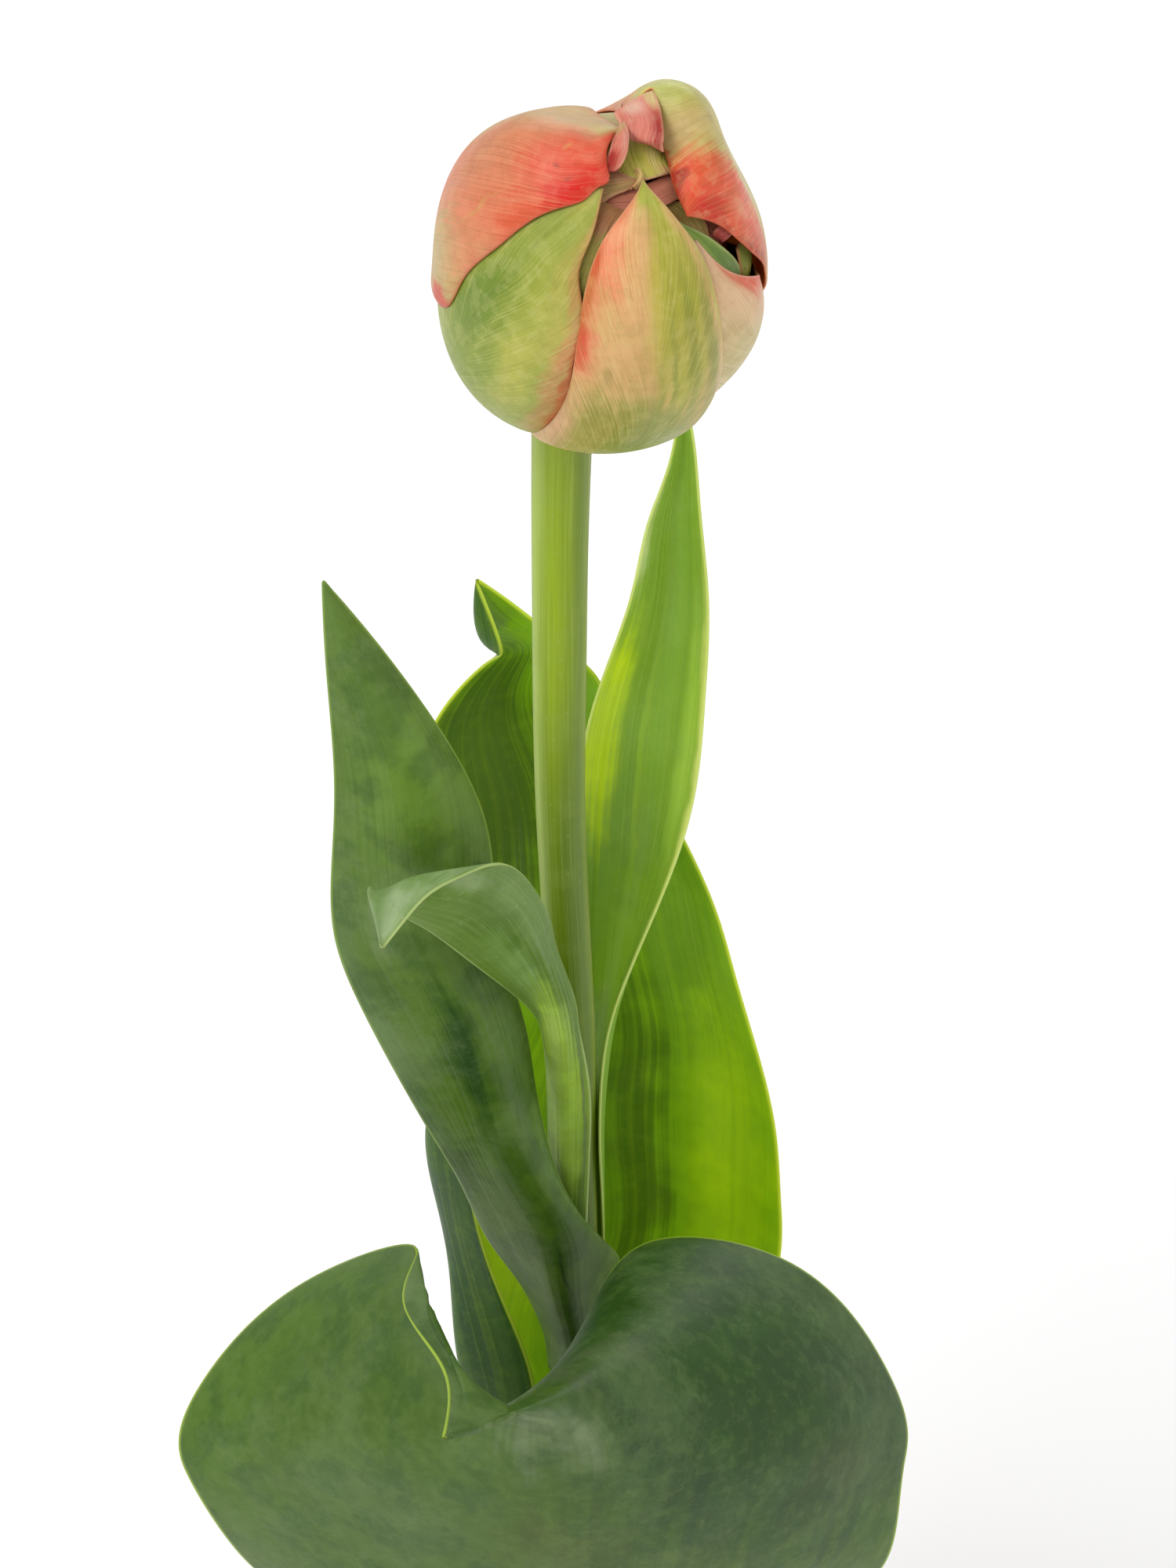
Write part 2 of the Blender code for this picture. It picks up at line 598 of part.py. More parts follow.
# Petal nets, from foot to tip: in each row (height, turn, lift) points, from the front margin to the back
OUTER_RIGHT_PETAL = (
    (
        (0.05, 8, -0.1), (0.05, 24, -0.1), (0.05, 39, -0.1),
        (0.05, 54, -0.1), (0.05, 70, -0.1), (0.05, 85, -0.1),
    ),
    (
        (0.15, 10, 0.2), (0.15, 26, 0.1), (0.15, 41, 0.1),
        (0.15, 57, 0.1), (0.15, 73, 0.1), (0.15, 90, 0.0),
    ),
    (
        (0.28, 8, 0.5), (0.28, 25, 0.3), (0.28, 42, 0.2),
        (0.28, 60, 0.1), (0.28, 77, 0.1), (0.28, 95, 0.0),
    ),
    (
        (0.40, 4, 0.6), (0.40, 22, 0.4), (0.40, 41, 0.3),
        (0.40, 60, 0.2), (0.40, 79, 0.1), (0.40, 98, -0.3),
    ),
    (
        (0.50, -2, 0.3), (0.50, 17, 0.5), (0.50, 38, 0.6),
        (0.50, 58, 0.6), (0.50, 79, 0.2), (0.50, 100, -0.8),
    ),
    (
        (0.57, -8, -0.2), (0.57, 12, -0.4), (0.57, 35, 0.3),
        (0.58, 57, 0.9), (0.58, 79, 0.2), (0.58, 97, -2.0),
    ),
    (
        (0.63, -16, -0.4), (0.64, 8, -1.5), (0.66, 33, -1.8),
        (0.66, 57, 1.2), (0.66, 78, 0.2), (0.66, 93, -3.6),
    ),
    (
        (0.69, -21, -0.7), (0.71, 5, -1.8), (0.74, 31, -1.9),
        (0.74, 57, 1.1), (0.74, 77, -0.2), (0.74, 91, -4.3),
    ),
    (
        (0.76, -26, -1.1), (0.79, 0, -0.9), (0.80, 30, -0.7),
        (0.81, 57, 1.6), (0.81, 77, 0.2), (0.80, 91, -4.1),
    ),
    (
        (0.82, -35, -1.1), (0.84, -6, 0.0), (0.85, 28, 0.7),
        (0.86, 56, 2.6), (0.85, 77, 1.0), (0.85, 91, -3.2),
    ),
    (
        (0.86, -42, -1.0), (0.89, -14, 1.0), (0.90, 22, 2.0),
        (0.90, 54, 3.6), (0.885, 78, 1.7), (0.89, 96, -1.8),
    ),
    (
        (0.868, -46, -1.2), (0.93, -38, -1.4), (0.958, 14, -2.0),
        (0.955, 50, -1.0), (0.905, 80, 2.2), (0.925, 105, -0.6),
    ),
)
CORE_BACK_PETAL = (
    ((0.05, 62, -3.0), (0.05, 90, -3.0), (0.05, 118, -3.0)),
    ((0.20, 50, -5.2), (0.20, 90, -4.8), (0.20, 130, -5.2)),
    ((0.50, 50, -6.8), (0.50, 90, -6.8), (0.50, 132, -6.8)),
    ((0.75, 46, -7.0), (0.75, 90, -7.4), (0.75, 136, -7.2)),
    ((0.88, 44, -5.8), (0.88, 90, -6.4), (0.88, 138, -6.2)),
    ((0.94, 38, -4.4), (0.945, 90, -4.4), (0.94, 142, -4.8)),
    ((0.952, 22, -3.4), (0.982, 70, -3.0), (0.965, 165, -3.8)),
    ((0.952, -6, -3.3), (0.973, -34, -3.1), (0.977, -85, -3.0)),
)
CORE_TOP_PETAL = (
    ((0.05, -25, -5.2), (0.05, 5, -5.2), (0.05, 30, -5.2)),
    ((0.20, -25, -5.8), (0.20, 5, -6.0), (0.20, 35, -6.0)),
    ((0.50, -26, -6.0), (0.50, 5, -6.4), (0.50, 36, -6.6)),
    ((0.75, -28, -5.8), (0.75, 0, -6.2), (0.75, 30, -6.6)),
    ((0.88, -34, -5.0), (0.88, -14, -5.2), (0.90, 10, -5.6)),
    ((0.92, -48, -4.2), (0.93, -32, -4.6), (0.935, -10, -4.8)),
    ((0.935, -60, -4.0), (0.95, -50, -4.3), (0.965, -38, -4.6)),
)


def main():
    clear_scene()
    clay = material("fired_clay", (0.52, 0.22, 0.12), 0.85)
    earth = material("potting_soil", (0.05, 0.03, 0.02), 0.95)
    skin = material("bulb_skin", (0.33, 0.17, 0.07), 0.6)
    stalk = material("stem_green", (0.25, 0.34, 0.09), 0.5)
    green = material("leaf_green", (0.09, 0.2, 0.06), 0.45)
    build_pot(clay)
    build_soil(earth)
    build_bulb(skin)
    build_stem(stalk)
    blade("leaf_front", leaf_surface(front_leaf(), 29, 17), LEAF_THICKNESS, green)
    blade("leaf_left", leaf_surface(left_leaf(), 25, 9), LEAF_THICKNESS, green)
    blade("leaf_curled", leaf_surface(curled_leaf(), 29, 7), LEAF_THICKNESS, green)
    blade("leaf_right", leaf_surface(right_leaf(), 21, 7), LEAF_THICKNESS, green)
    blade("leaf_back", leaf_surface(back_leaf(), 25, 13), LEAF_THICKNESS, green)
    outer = material("outer_petal", (0.7, 0.4, 0.25), 0.45)
    inner = material("inner_petal", (0.45, 0.5, 0.2), 0.45)
    core = material("core_petal", (0.6, 0.3, 0.2), 0.45)
    blade("petal_outer_left", petal_surface(OUTER_LEFT_PETAL, 17, 11), PETAL_THICKNESS, outer)
    blade("petal_inner_left", petal_surface(INNER_LEFT_PETAL, 15, 9), PETAL_THICKNESS, inner)
    blade("petal_outer_front", petal_surface(OUTER_FRONT_PETAL, 17, 9), PETAL_THICKNESS, outer)
    blade("petal_inner_right", petal_surface(INNER_RIGHT_PETAL, 15, 9), PETAL_THICKNESS, inner)
    blade("petal_outer_right", petal_net(OUTER_RIGHT_PETAL, 21, 13), PETAL_THICKNESS, outer)
    blade("petal_inner_back", petal_surface(INNER_BACK_PETAL, 13, 9), PETAL_THICKNESS, inner)
    blade("petal_core_back", petal_net(CORE_BACK_PETAL, 15, 7), PETAL_THICKNESS, core)
    blade("petal_core_left", petal_surface(CORE_LEFT_PETAL, 11, 7), PETAL_THICKNESS, core)
    blade("petal_core_front", petal_surface(CORE_FRONT_PETAL, 11, 7), PETAL_THICKNESS, core)
    blade("petal_core_middle", petal_surface(CORE_MIDDLE_PETAL, 11, 7), PETAL_THICKNESS, core)
    blade("petal_core_right", petal_surface(CORE_RIGHT_PETAL, 11, 7), PETAL_THICKNESS, inner)
    blade("petal_core_far", petal_surface(CORE_FAR_PETAL, 11, 7), PETAL_THICKNESS, core)
    blade("petal_core_top", petal_net(CORE_TOP_PETAL, 13, 7), PETAL_THICKNESS, core)


main()
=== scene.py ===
"""Potted tulip: the finished surfaces, colours and light of one bulb in flower in a clay pot.

Sizes, nets and profiles are in millimetres, and become metres when a mesh is made. The front of the
plant is -Y. A blade is a leaf or a petal: a thin closed solid on a grid whose u runs from its left
margin to its right one and whose v runs from its foot to its tip.
"""

import logging
from dataclasses import dataclass, field, replace
from enum import Enum

import bpy
import numpy as np
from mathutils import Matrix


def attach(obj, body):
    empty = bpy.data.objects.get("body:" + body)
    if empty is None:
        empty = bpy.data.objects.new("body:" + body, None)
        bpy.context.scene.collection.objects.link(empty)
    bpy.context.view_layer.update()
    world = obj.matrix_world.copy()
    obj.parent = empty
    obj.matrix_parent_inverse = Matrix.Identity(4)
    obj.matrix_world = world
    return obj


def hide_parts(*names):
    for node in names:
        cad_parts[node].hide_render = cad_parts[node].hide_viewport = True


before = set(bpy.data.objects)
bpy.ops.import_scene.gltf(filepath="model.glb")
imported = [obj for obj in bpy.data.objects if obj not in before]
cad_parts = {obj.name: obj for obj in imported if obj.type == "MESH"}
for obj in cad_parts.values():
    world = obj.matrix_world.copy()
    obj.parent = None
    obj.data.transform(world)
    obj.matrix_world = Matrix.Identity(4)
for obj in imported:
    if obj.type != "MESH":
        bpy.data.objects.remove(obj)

MM = 0.001
BODY = "root"
# What a satin skin's sheen adds to each share of a colour, and the least share that is left
SHEEN = 0.025
DARKEST = 0.004
# A row of a grid is pinched when its cells are smaller than this share of the middle size
PINCHED = 0.02
# How far a ripple's waves slant, and what brings their mean to about -1 to 1
SLANT = 0.25
RIPPLE_GAIN = 1.6
# How far from its margins a blade grows thicker, in millimetres, and how fast
TAPER = 4.0
TAPER_POWER = 0.8
# The part of a noise node's range that its values mostly lie in
NOISE_LOW = 0.28
NOISE_HIGH = 0.72
# How far noise moves the washes of a blade, in (u, v)
DRIFT = 0.05
# How fine the noise on a blade is, as the scale of a noise node
DRIFT_SCALE = 90.0
LEAN_SCALE = 160.0
CLOUD_SCALE = 48.0
GRAIN_SCALE = 1400.0
SPECKLE_SCALE = 430.0
FLECK_SCALE = 520.0
FLECK_SPREAD_SCALE = 210.0
# How much weaker broad veins show than fine ones, and how much higher they stand
BROAD_SHARE = 0.6
BROAD_RELIEF = 2.5
# A leaf's channels: how many, how deep, where along it they begin and how far they run
CHANNELS = 10
CHANNEL_DEPTH = 0.05
CLEAR_FROM = 0.25
CLEAR_OVER = 0.6
# The low waves of a leaf, as counts across and along
LEAF_WAVES = ((1.0, 1.6), (1.7, 2.9), (2.3, 0.9), (0.8, 4.1))
# How many corners of cells plane noise has along each side
NOISE_CORNERS = 128
Array = np.ndarray
Material = bpy.types.Material
Thing = bpy.types.Object
Colour = tuple[float, float, float, float]
Rows = tuple[tuple[float, ...], ...]
log = logging.getLogger("tulip")


def tint(red: float, green: float, blue: float) -> Colour:
    """A colour as a paint maker writes it, 0 to 255, made linear.

    Args:
        red: share of red, 0 to 255.
        green: share of green, 0 to 255.
        blue: share of blue, 0 to 255.

    Returns:
        The linear colour with full cover. Each share s becomes ((s + 0.055) / 1.055) ** 2.4.
    """
    shares = np.array([red, green, blue]) / 255.0
    linear = np.where(shares <= 0.04045, shares / 12.92, ((shares + 0.055) / 1.055) ** 2.4)
    return (float(linear[0]), float(linear[1]), float(linear[2]), 1.0)


def seen(red: float, green: float, blue: float) -> Colour:
    """A colour as it looks in white light, less the sheen that a satin skin adds to it.

    Args:
        red: share of red, 0 to 255.
        green: share of green, 0 to 255.
        blue: share of blue, 0 to 255.

    Returns:
        The linear colour, each share lower by SHEEN but never under DARKEST.
    """
    full = tint(red, green, blue)
    return (*(max(share - SHEEN, DARKEST) for share in full[:3]), 1.0)


# ---------------------------------------------------------------- curves and grids


def natural_spline(knots: Array, values: Array, reads: Array) -> Array:
    """Natural cubic splines, any number at once.

    Through each set of points goes the curve of cubic pieces whose second derivative is continuous
    and is zero at both ends.

    Args:
        knots: where the points lie along each curve, (..., K).
        values: the points, (..., K, D).
        reads: where each curve is read, (..., M).

    Returns:
        The read points, (..., M, D).
    """
    steps = np.diff(knots, axis=-1)
    size = knots.shape[-1]
    slopes = np.diff(values, axis=-2) / steps[..., None]
    system = np.zeros((*knots.shape, size))
    system[..., 0, 0] = system[..., -1, -1] = 1.0
    inner = np.arange(1, size - 1)
    system[..., inner, inner - 1] = steps[..., :-1]
    system[..., inner, inner] = 2.0 * (steps[..., :-1] + steps[..., 1:])
    system[..., inner, inner + 1] = steps[..., 1:]
    bend = np.zeros_like(values)
    bend[..., 1:-1, :] = 6.0 * np.diff(slopes, axis=-2)
    second = np.linalg.solve(system, bend)
    at = (reads[..., :, None] >= knots[..., None, 1:-1]).sum(axis=-1)
    width = np.take_along_axis(steps, at, axis=-1)[..., None]
    left = np.take_along_axis(knots, at + 1, axis=-1)[..., None] - reads[..., None]
    right = reads[..., None] - np.take_along_axis(knots, at, axis=-1)[..., None]
    before = np.take_along_axis(values, at[..., None], axis=-2)
    after = np.take_along_axis(values, at[..., None] + 1, axis=-2)
    bend_before = np.take_along_axis(second, at[..., None], axis=-2)
    bend_after = np.take_along_axis(second, at[..., None] + 1, axis=-2)
    return (
        bend_before * left**3 / (6 * width)
        + bend_after * right**3 / (6 * width)
        + (before / width - bend_before * width / 6) * left
        + (after / width - bend_after * width / 6) * right
    )


def unit(vectors: Array) -> Array:
    """Vectors made one long."""
    return vectors / np.maximum(np.linalg.norm(vectors, axis=-1, keepdims=True), 1e-9)


def square_to(onward: Array) -> tuple[Array, Array]:
    """Two unit vectors square to each direction, the first as near to +X as can be."""
    side = unit(np.array([1.0, 0.0, 0.0]) - onward * onward[..., :1])
    return side, np.cross(onward, side)


def even_turns(count: int) -> Array:
    """Angles at even steps once round, in radians."""
    return np.linspace(0.0, 2 * np.pi, count, endpoint=False)


def chord_knots(points: Array) -> Array:
    """The distance along each row of points, (..., K, 3) to (..., K)."""
    steps = np.maximum(np.linalg.norm(np.diff(points, axis=-2), axis=-1), 1e-7)
    start = np.zeros((*steps.shape[:-1], 1))
    return np.concatenate([start, np.cumsum(steps, axis=-1)], axis=-1)


def net_surface(net: Array, along: int, across: int) -> Array:
    """A smooth surface over a net of points.

    Each column becomes a natural spline over the length of the middle column, read at even steps,
    and then each row becomes a natural spline over its own length, read at even steps.

    Args:
        net: rows from foot to tip of points from the left margin to the right, (R, C, 3).
        along: rows to read.
        across: points to read in each row.

    Returns:
        The grid, (along, across, 3).
    """
    rows, columns = net.shape[:2]
    knots = chord_knots(net[:, columns // 2])
    reads = np.linspace(0.0, knots[-1], along)
    lengthwise = natural_spline(knots, net.reshape(rows, -1), reads).reshape(along, columns, 3)
    spread = chord_knots(lengthwise)
    sideways = spread[:, -1:] * np.linspace(0.0, 1.0, across)
    return natural_spline(spread, lengthwise, sideways)


def surface_normals(grid: Array) -> Array:
    """Unit normals of a grid: across step x along step, and at a pinched row its neighbour's."""
    sideways = np.gradient(grid, axis=1)
    onward = np.gradient(grid, axis=0)
    normal = np.cross(sideways, onward)
    size = np.linalg.norm(normal, axis=-1, keepdims=True)
    unit = normal / np.maximum(size, 1e-12)
    weak = size[..., 0].max(axis=1) < PINCHED * np.median(size[..., 0].max(axis=1))
    rows = np.arange(len(grid))
    sound = np.where(~weak, rows, 0)
    return unit[np.maximum.accumulate(sound)]


def ripple(shape: tuple[int, int], waves: Array, seed: int) -> Array:
    """A smooth uneven field between about -1 and 1 over a grid.

    It is the mean of sine waves, each with its own count of waves across and along, its own slant
    and its own start, drawn from a seeded generator.

    Args:
        shape: rows and columns of the grid.
        waves: one row (across, along) of wave counts for each sine.
        seed: the generator's seed.

    Returns:
        The field, one number a grid point.
    """
    draw = np.random.default_rng(seed)
    v = np.linspace(0.0, 1.0, shape[0])[:, None, None]
    u = np.linspace(0.0, 1.0, shape[1])[None, :, None]
    sway = draw.uniform(-SLANT, SLANT, len(waves))
    start = draw.uniform(0.0, 2 * np.pi, len(waves))
    phase = 2 * np.pi * (waves[:, 0] * (u + sway * v) + waves[:, 1] * (v + sway * u)) + start
    return np.sin(phase).mean(axis=-1) * RIPPLE_GAIN


# ---------------------------------------------------------------- meshes


@dataclass(frozen=True)
class Shell:
    """A mesh as whole arrays: points in millimetres, faces, and what each point carries."""

    points: Array
    faces: list[Array]
    uv: Array
    marks: dict[str, Array] = field(default_factory=dict)

    def make(self, name: str, finish: Material, nodes: tuple[str, ...], slot: str) -> Thing:
        """Puts the arrays in a mesh, dresses it and hangs it on the frame.

        Args:
            name: the piece's name.
            finish: its material.
            nodes: the solids that it stands for.
            slot: the name of a material slot; not used.

        Returns:
            The finished piece.
        """
        mesh = bpy.data.meshes.new(name)
        loops = np.concatenate([face.reshape(-1) for face in self.faces]).astype(np.int32)
        counts = np.concatenate([np.full(len(face), face.shape[1], np.int32) for face in self.faces])
        mesh.vertices.add(len(self.points))
        mesh.vertices.foreach_set("co", (self.points * MM).astype(np.float32).reshape(-1))
        mesh.loops.add(len(loops))
        mesh.loops.foreach_set("vertex_index", loops)
        mesh.polygons.add(len(counts))
        starts = np.concatenate([[0], np.cumsum(counts)[:-1]]).astype(np.int32)
        mesh.polygons.foreach_set("loop_start", starts)
        mesh.update(calc_edges=True)
        mesh.validate()
        chart = mesh.uv_layers.new(name="chart")
        index = np.empty(len(mesh.loops), np.int32)
        mesh.loops.foreach_get("vertex_index", index)
        chart.uv.foreach_set("vector", self.uv[index].astype(np.float32).reshape(-1))
        for mark, values in self.marks.items():
            layer = mesh.attributes.new(mark, "FLOAT", "POINT")
            layer.data.foreach_set("value", values.astype(np.float32).reshape(-1))
        mesh.shade_smooth()
        mesh.materials.append(finish)
        piece = bpy.data.objects.new(name, mesh)
        bpy.context.scene.collection.objects.link(piece)
        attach(piece, BODY)
        if nodes:
            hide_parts(*nodes)
        return piece


def grid_faces(rows: int, columns: int, closed: bool) -> Array:
    """Four-cornered faces of a grid of points, and across its seam where each row is a closed ring."""
    width = columns if closed else columns - 1
    i = np.arange(rows - 1)[:, None]
    j = np.arange(width)[None, :]
    k = (j + 1) % columns
    corners = (i * columns + j, i * columns + k, (i + 1) * columns + k, (i + 1) * columns + j)
    return np.stack(np.broadcast_arrays(*corners), axis=-1).reshape(-1, 4)


def tube(rings: Array) -> Shell:
    """A closed solid round rings of points, (rings, sides, 3), with a flat face at each end."""
    rows, sides = rings.shape[:2]
    u = np.linspace(0.0, 1.0, sides, endpoint=False)
    uv = np.stack(np.meshgrid(u, np.linspace(0.0, 1.0, rows)), axis=-1)
    foot = np.arange(sides)[None, ::-1]
    top = np.arange(sides)[None] + (rows - 1) * sides
    faces = [grid_faces(rows, sides, True), foot, top]
    return Shell(rings.reshape(-1, 3), faces, uv.reshape(-1, 2))


def blade_shell(grid: Array, middle: float, margin: float) -> Shell:
    """A closed thin solid round a grid of points.

    Both sides stand off the grid by half the thickness along its normal. The thickness falls from
    `middle` to `margin` with the distance to the nearest margin over the last TAPER, and a ridge of
    points half a margin's thickness outside rounds each margin. Rings of points run round the blade,
    and strips close its foot and its tip.

    Args:
        grid: the points between the two sides, (N, M, 3).
        middle: thickness away from the margins.
        margin: thickness at the margins.

    Returns:
        The shell. Its marks are `side`, 1 on the side that the normal points to and 0 on the other,
        and `edge`, the distance to the nearest margin in millimetres.
    """
    rows, columns = grid.shape[:2]
    normal = surface_normals(grid)
    length = chord_knots(grid)
    onward = chord_knots(grid[:, columns // 2])
    tip = (onward[-1] - onward)[:, None]
    edge = np.minimum(np.minimum(length, length[:, -1:] - length), tip)
    fade = np.clip(edge / TAPER, 0.0, 1.0)
    thick = margin + (middle - margin) * np.sin(0.5 * np.pi * fade) ** TAPER_POWER
    upper = grid + normal * (0.5 * thick)[..., None]
    lower = grid - normal * (0.5 * thick)[..., None]
    ridge_left = grid[:, :1] + unit(grid[:, :1] - grid[:, 1:2]) * 0.5 * margin
    ridge_right = grid[:, -1:] + unit(grid[:, -1:] - grid[:, -2:-1]) * 0.5 * margin
    ring = np.concatenate([upper, ridge_right, lower[:, ::-1], ridge_left], axis=1)
    u = np.linspace(0.0, 1.0, columns)
    ring_u = np.concatenate([u, [1.0], u[::-1], [0.0]])
    ring_v = np.linspace(0.0, 1.0, rows)
    uv = np.stack(np.broadcast_arrays(ring_u[None, :], ring_v[:, None]), axis=-1)
    side = np.concatenate([np.ones(columns), [0.5], np.zeros(columns), [0.5]])
    nothing = np.zeros((rows, 1))
    ring_edge = np.concatenate([edge, nothing, edge[:, ::-1], nothing], axis=1)
    width = 2 * columns + 2
    j = np.arange(columns - 1)
    strip = np.stack([j, j + 1, 2 * columns - 1 - j, 2 * columns - j], axis=-1)
    corner = np.array([[columns - 1, columns, columns + 1], [2 * columns, 2 * columns + 1, 0]])
    last = (rows - 1) * width
    faces = [grid_faces(rows, width, True), strip[:, ::-1], strip + last, corner[:, ::-1], corner + last]
    marks = {"side": np.broadcast_to(side, (rows, width)), "edge": ring_edge}
    return Shell(ring.reshape(-1, 3), faces, uv.reshape(-1, 2), marks)


# ---------------------------------------------------------------- shader benches


class Sum(Enum):
    """The Math node operations that finishes are worked out with."""

    ADD = "ADD"
    TAKE = "SUBTRACT"
    TIMES = "MULTIPLY"
    POWER = "POWER"


class Wire:
    """One value on its way through a finish, with the arithmetic that finishes use."""

    def __init__(self, bench: "Bench", socket: bpy.types.NodeSocket) -> None:
        """Keeps the bench and the output socket that the value comes from."""
        self.bench = bench
        self.socket = socket

    def __add__(self, other: "Wire | float") -> "Wire":
        """This value plus the other."""
        return self.bench.sum(Sum.ADD, self, other)

    def __radd__(self, other: float) -> "Wire":
        """The other value plus this one."""
        return self.bench.sum(Sum.ADD, other, self)

    def __sub__(self, other: "Wire | float") -> "Wire":
        """This value less the other."""
        return self.bench.sum(Sum.TAKE, self, other)

    def __rsub__(self, other: float) -> "Wire":
        """The other value less this one."""
        return self.bench.sum(Sum.TAKE, other, self)

    def __mul__(self, other: "Wire | float") -> "Wire":
        """This value times the other."""
        return self.bench.sum(Sum.TIMES, self, other)

    def __rmul__(self, other: float) -> "Wire":
        """The other value times this one."""
        return self.bench.sum(Sum.TIMES, other, self)

    def __pow__(self, other: "Wire | float") -> "Wire":
        """This value raised to the other."""
        return self.bench.sum(Sum.POWER, self, other)


class Bench:
    """Where one finish is put together: a material, its node tree and the ways to add to it."""

    def __init__(self, name: str) -> None:
        """Makes an empty material of that name."""
        self.material = bpy.data.materials.new(name)
        self.material.use_nodes = True
        self.tree = self.material.node_tree
        self.tree.nodes.clear()

    def node(
        self,
        kind: str,
        settings: dict[str, object] | None = None,
        values: dict[str | int, object] | None = None,
        output: int | str = 0,
    ) -> Wire:
        """Adds one node.

        Args:
            kind: the node's type, without its ShaderNode prefix.
            settings: its settings, set first.
            values: a number, colour, vector or Wire for each named or numbered input.
            output: which output is passed on.

        Returns:
            That output.
        """
        made = self.tree.nodes.new("ShaderNode" + kind)
        for key, value in (settings or {}).items():
            setattr(made, key, value)
        for key, value in (values or {}).items():
            if isinstance(value, Wire):
                self.tree.links.new(value.socket, made.inputs[key])
            else:
                made.inputs[key].default_value = value
        return Wire(self, made.outputs[output])

    def sum(self, kind: Sum, first: Wire | float, second: Wire | float) -> Wire:
        """One Math node on two values."""
        return self.node("Math", {"operation": kind.value}, {0: first, 1: second})

    def mix(self, share: Wire | float, under: Wire | Colour, over: Wire | Colour) -> Wire:
        """The colour `under` with `over` laid on it by that share."""
        return self.node("Mix", {"data_type": "RGBA"}, {0: share, 6: under, 7: over}, 2)

    def coats(self, colour: Wire | Colour, *coats: tuple[Wire | float, Wire | Colour]) -> Wire | Colour:
        """The colour with coats laid on it, one over another: each is a share and a colour."""
        for share, over in coats:
            colour = self.mix(share, colour, over)
        return colour

    def step(self, value: Wire, low: float, high: float) -> Wire:
        """A soft step: 0 at `low` and 1 at `high`, whichever is the larger."""
        settings = {"interpolation_type": "SMOOTHSTEP"}
        return self.node("MapRange", settings, {"Value": value, "From Min": low, "From Max": high})

    def near(self, value: Wire, centre: float, reach: float) -> Wire:
        """A soft ridge: 1 at the centre, 0 from `reach` away on either side."""
        away = self.node("Math", {"operation": "ABSOLUTE"}, {0: value - centre})
        return self.step(away, reach, 0.0)

    def vector(self, x: Wire | float, y: Wire | float, z: Wire | float = 0.0) -> Wire:
        """Three numbers as a vector."""
        return self.node("CombineXYZ", None, {0: x, 1: y, 2: z})

    def noise(self, place: Wire, scale: float, detail: float = 3.0, rough: float = 0.55) -> Wire:
        """Cloudy noise, spread so that it fills 0 to 1."""
        values = {"Vector": place, "Scale": scale, "Detail": detail, "Roughness": rough}
        return self.step(self.node("TexNoise", None, values), NOISE_LOW, NOISE_HIGH)

    def cells(self, place: Wire, scale: float) -> Wire:
        """The distance to the nearest of scattered points."""
        return self.node("TexVoronoi", None, {"Vector": place, "Scale": scale}, "Distance")

    def stretched(self, place: Wire, scale: tuple[float, float, float], turn: float = 0.0) -> Wire:
        """A place turned about Z, in radians, and stretched along each axis."""
        values = {"Vector": place, "Scale": scale, "Rotation": (0.0, 0.0, turn)}
        return self.node("Mapping", None, values)

    def mark(self, name: str) -> Wire:
        """A number that the piece's points carry."""
        return self.node("Attribute", {"attribute_name": name}, None, "Fac")

    def place(self) -> Wire:
        """Object coordinates in metres."""
        return self.node("TexCoord", None, None, "Object")

    def chart(self) -> tuple[Wire, Wire]:
        """The two numbers of the piece's own chart, across and along."""
        spot = self.node("UVMap", {"uv_map": "chart"})
        return self.split(spot)[:2]

    def split(self, vector: Wire) -> tuple[Wire, Wire, Wire]:
        """A vector's three numbers."""
        made = self.node("SeparateXYZ", None, {0: vector})
        outputs = made.socket.node.outputs
        return made, Wire(self, outputs[1]), Wire(self, outputs[2])

    def bump(self, height: Wire, distance: float, strength: float, under: Wire | None = None) -> Wire:
        """A normal bent by a height, whose full range stands `distance` millimetres high."""
        values: dict[str | int, object] = {"Height": height, "Distance": distance * MM, "Strength": strength}
        if under is not None:
            values["Normal"] = under
        return self.node("Bump", None, values)

    def finish(
        self, colour: Wire | Colour, roughness: Wire | float, normal: Wire, **constants: object
    ) -> Material:
        """Closes the finish with its shader.

        Args:
            colour: base colour.
            roughness: roughness.
            normal: normal.
            constants: other inputs of the shader, by name with _ for a space, as constants.

        Returns:
            The material.
        """
        values: dict[str | int, object] = {"Base Color": colour, "Roughness": roughness, "Normal": normal}
        values.update({key.replace("_", " "): value for key, value in constants.items()})
        shader = self.node("BsdfPrincipled", None, values)
        end = self.tree.nodes.new("ShaderNodeOutputMaterial")
        self.tree.links.new(shader.socket, end.inputs["Surface"])
        return self.material


# ---------------------------------------------------------------- finishes of leaves and petals


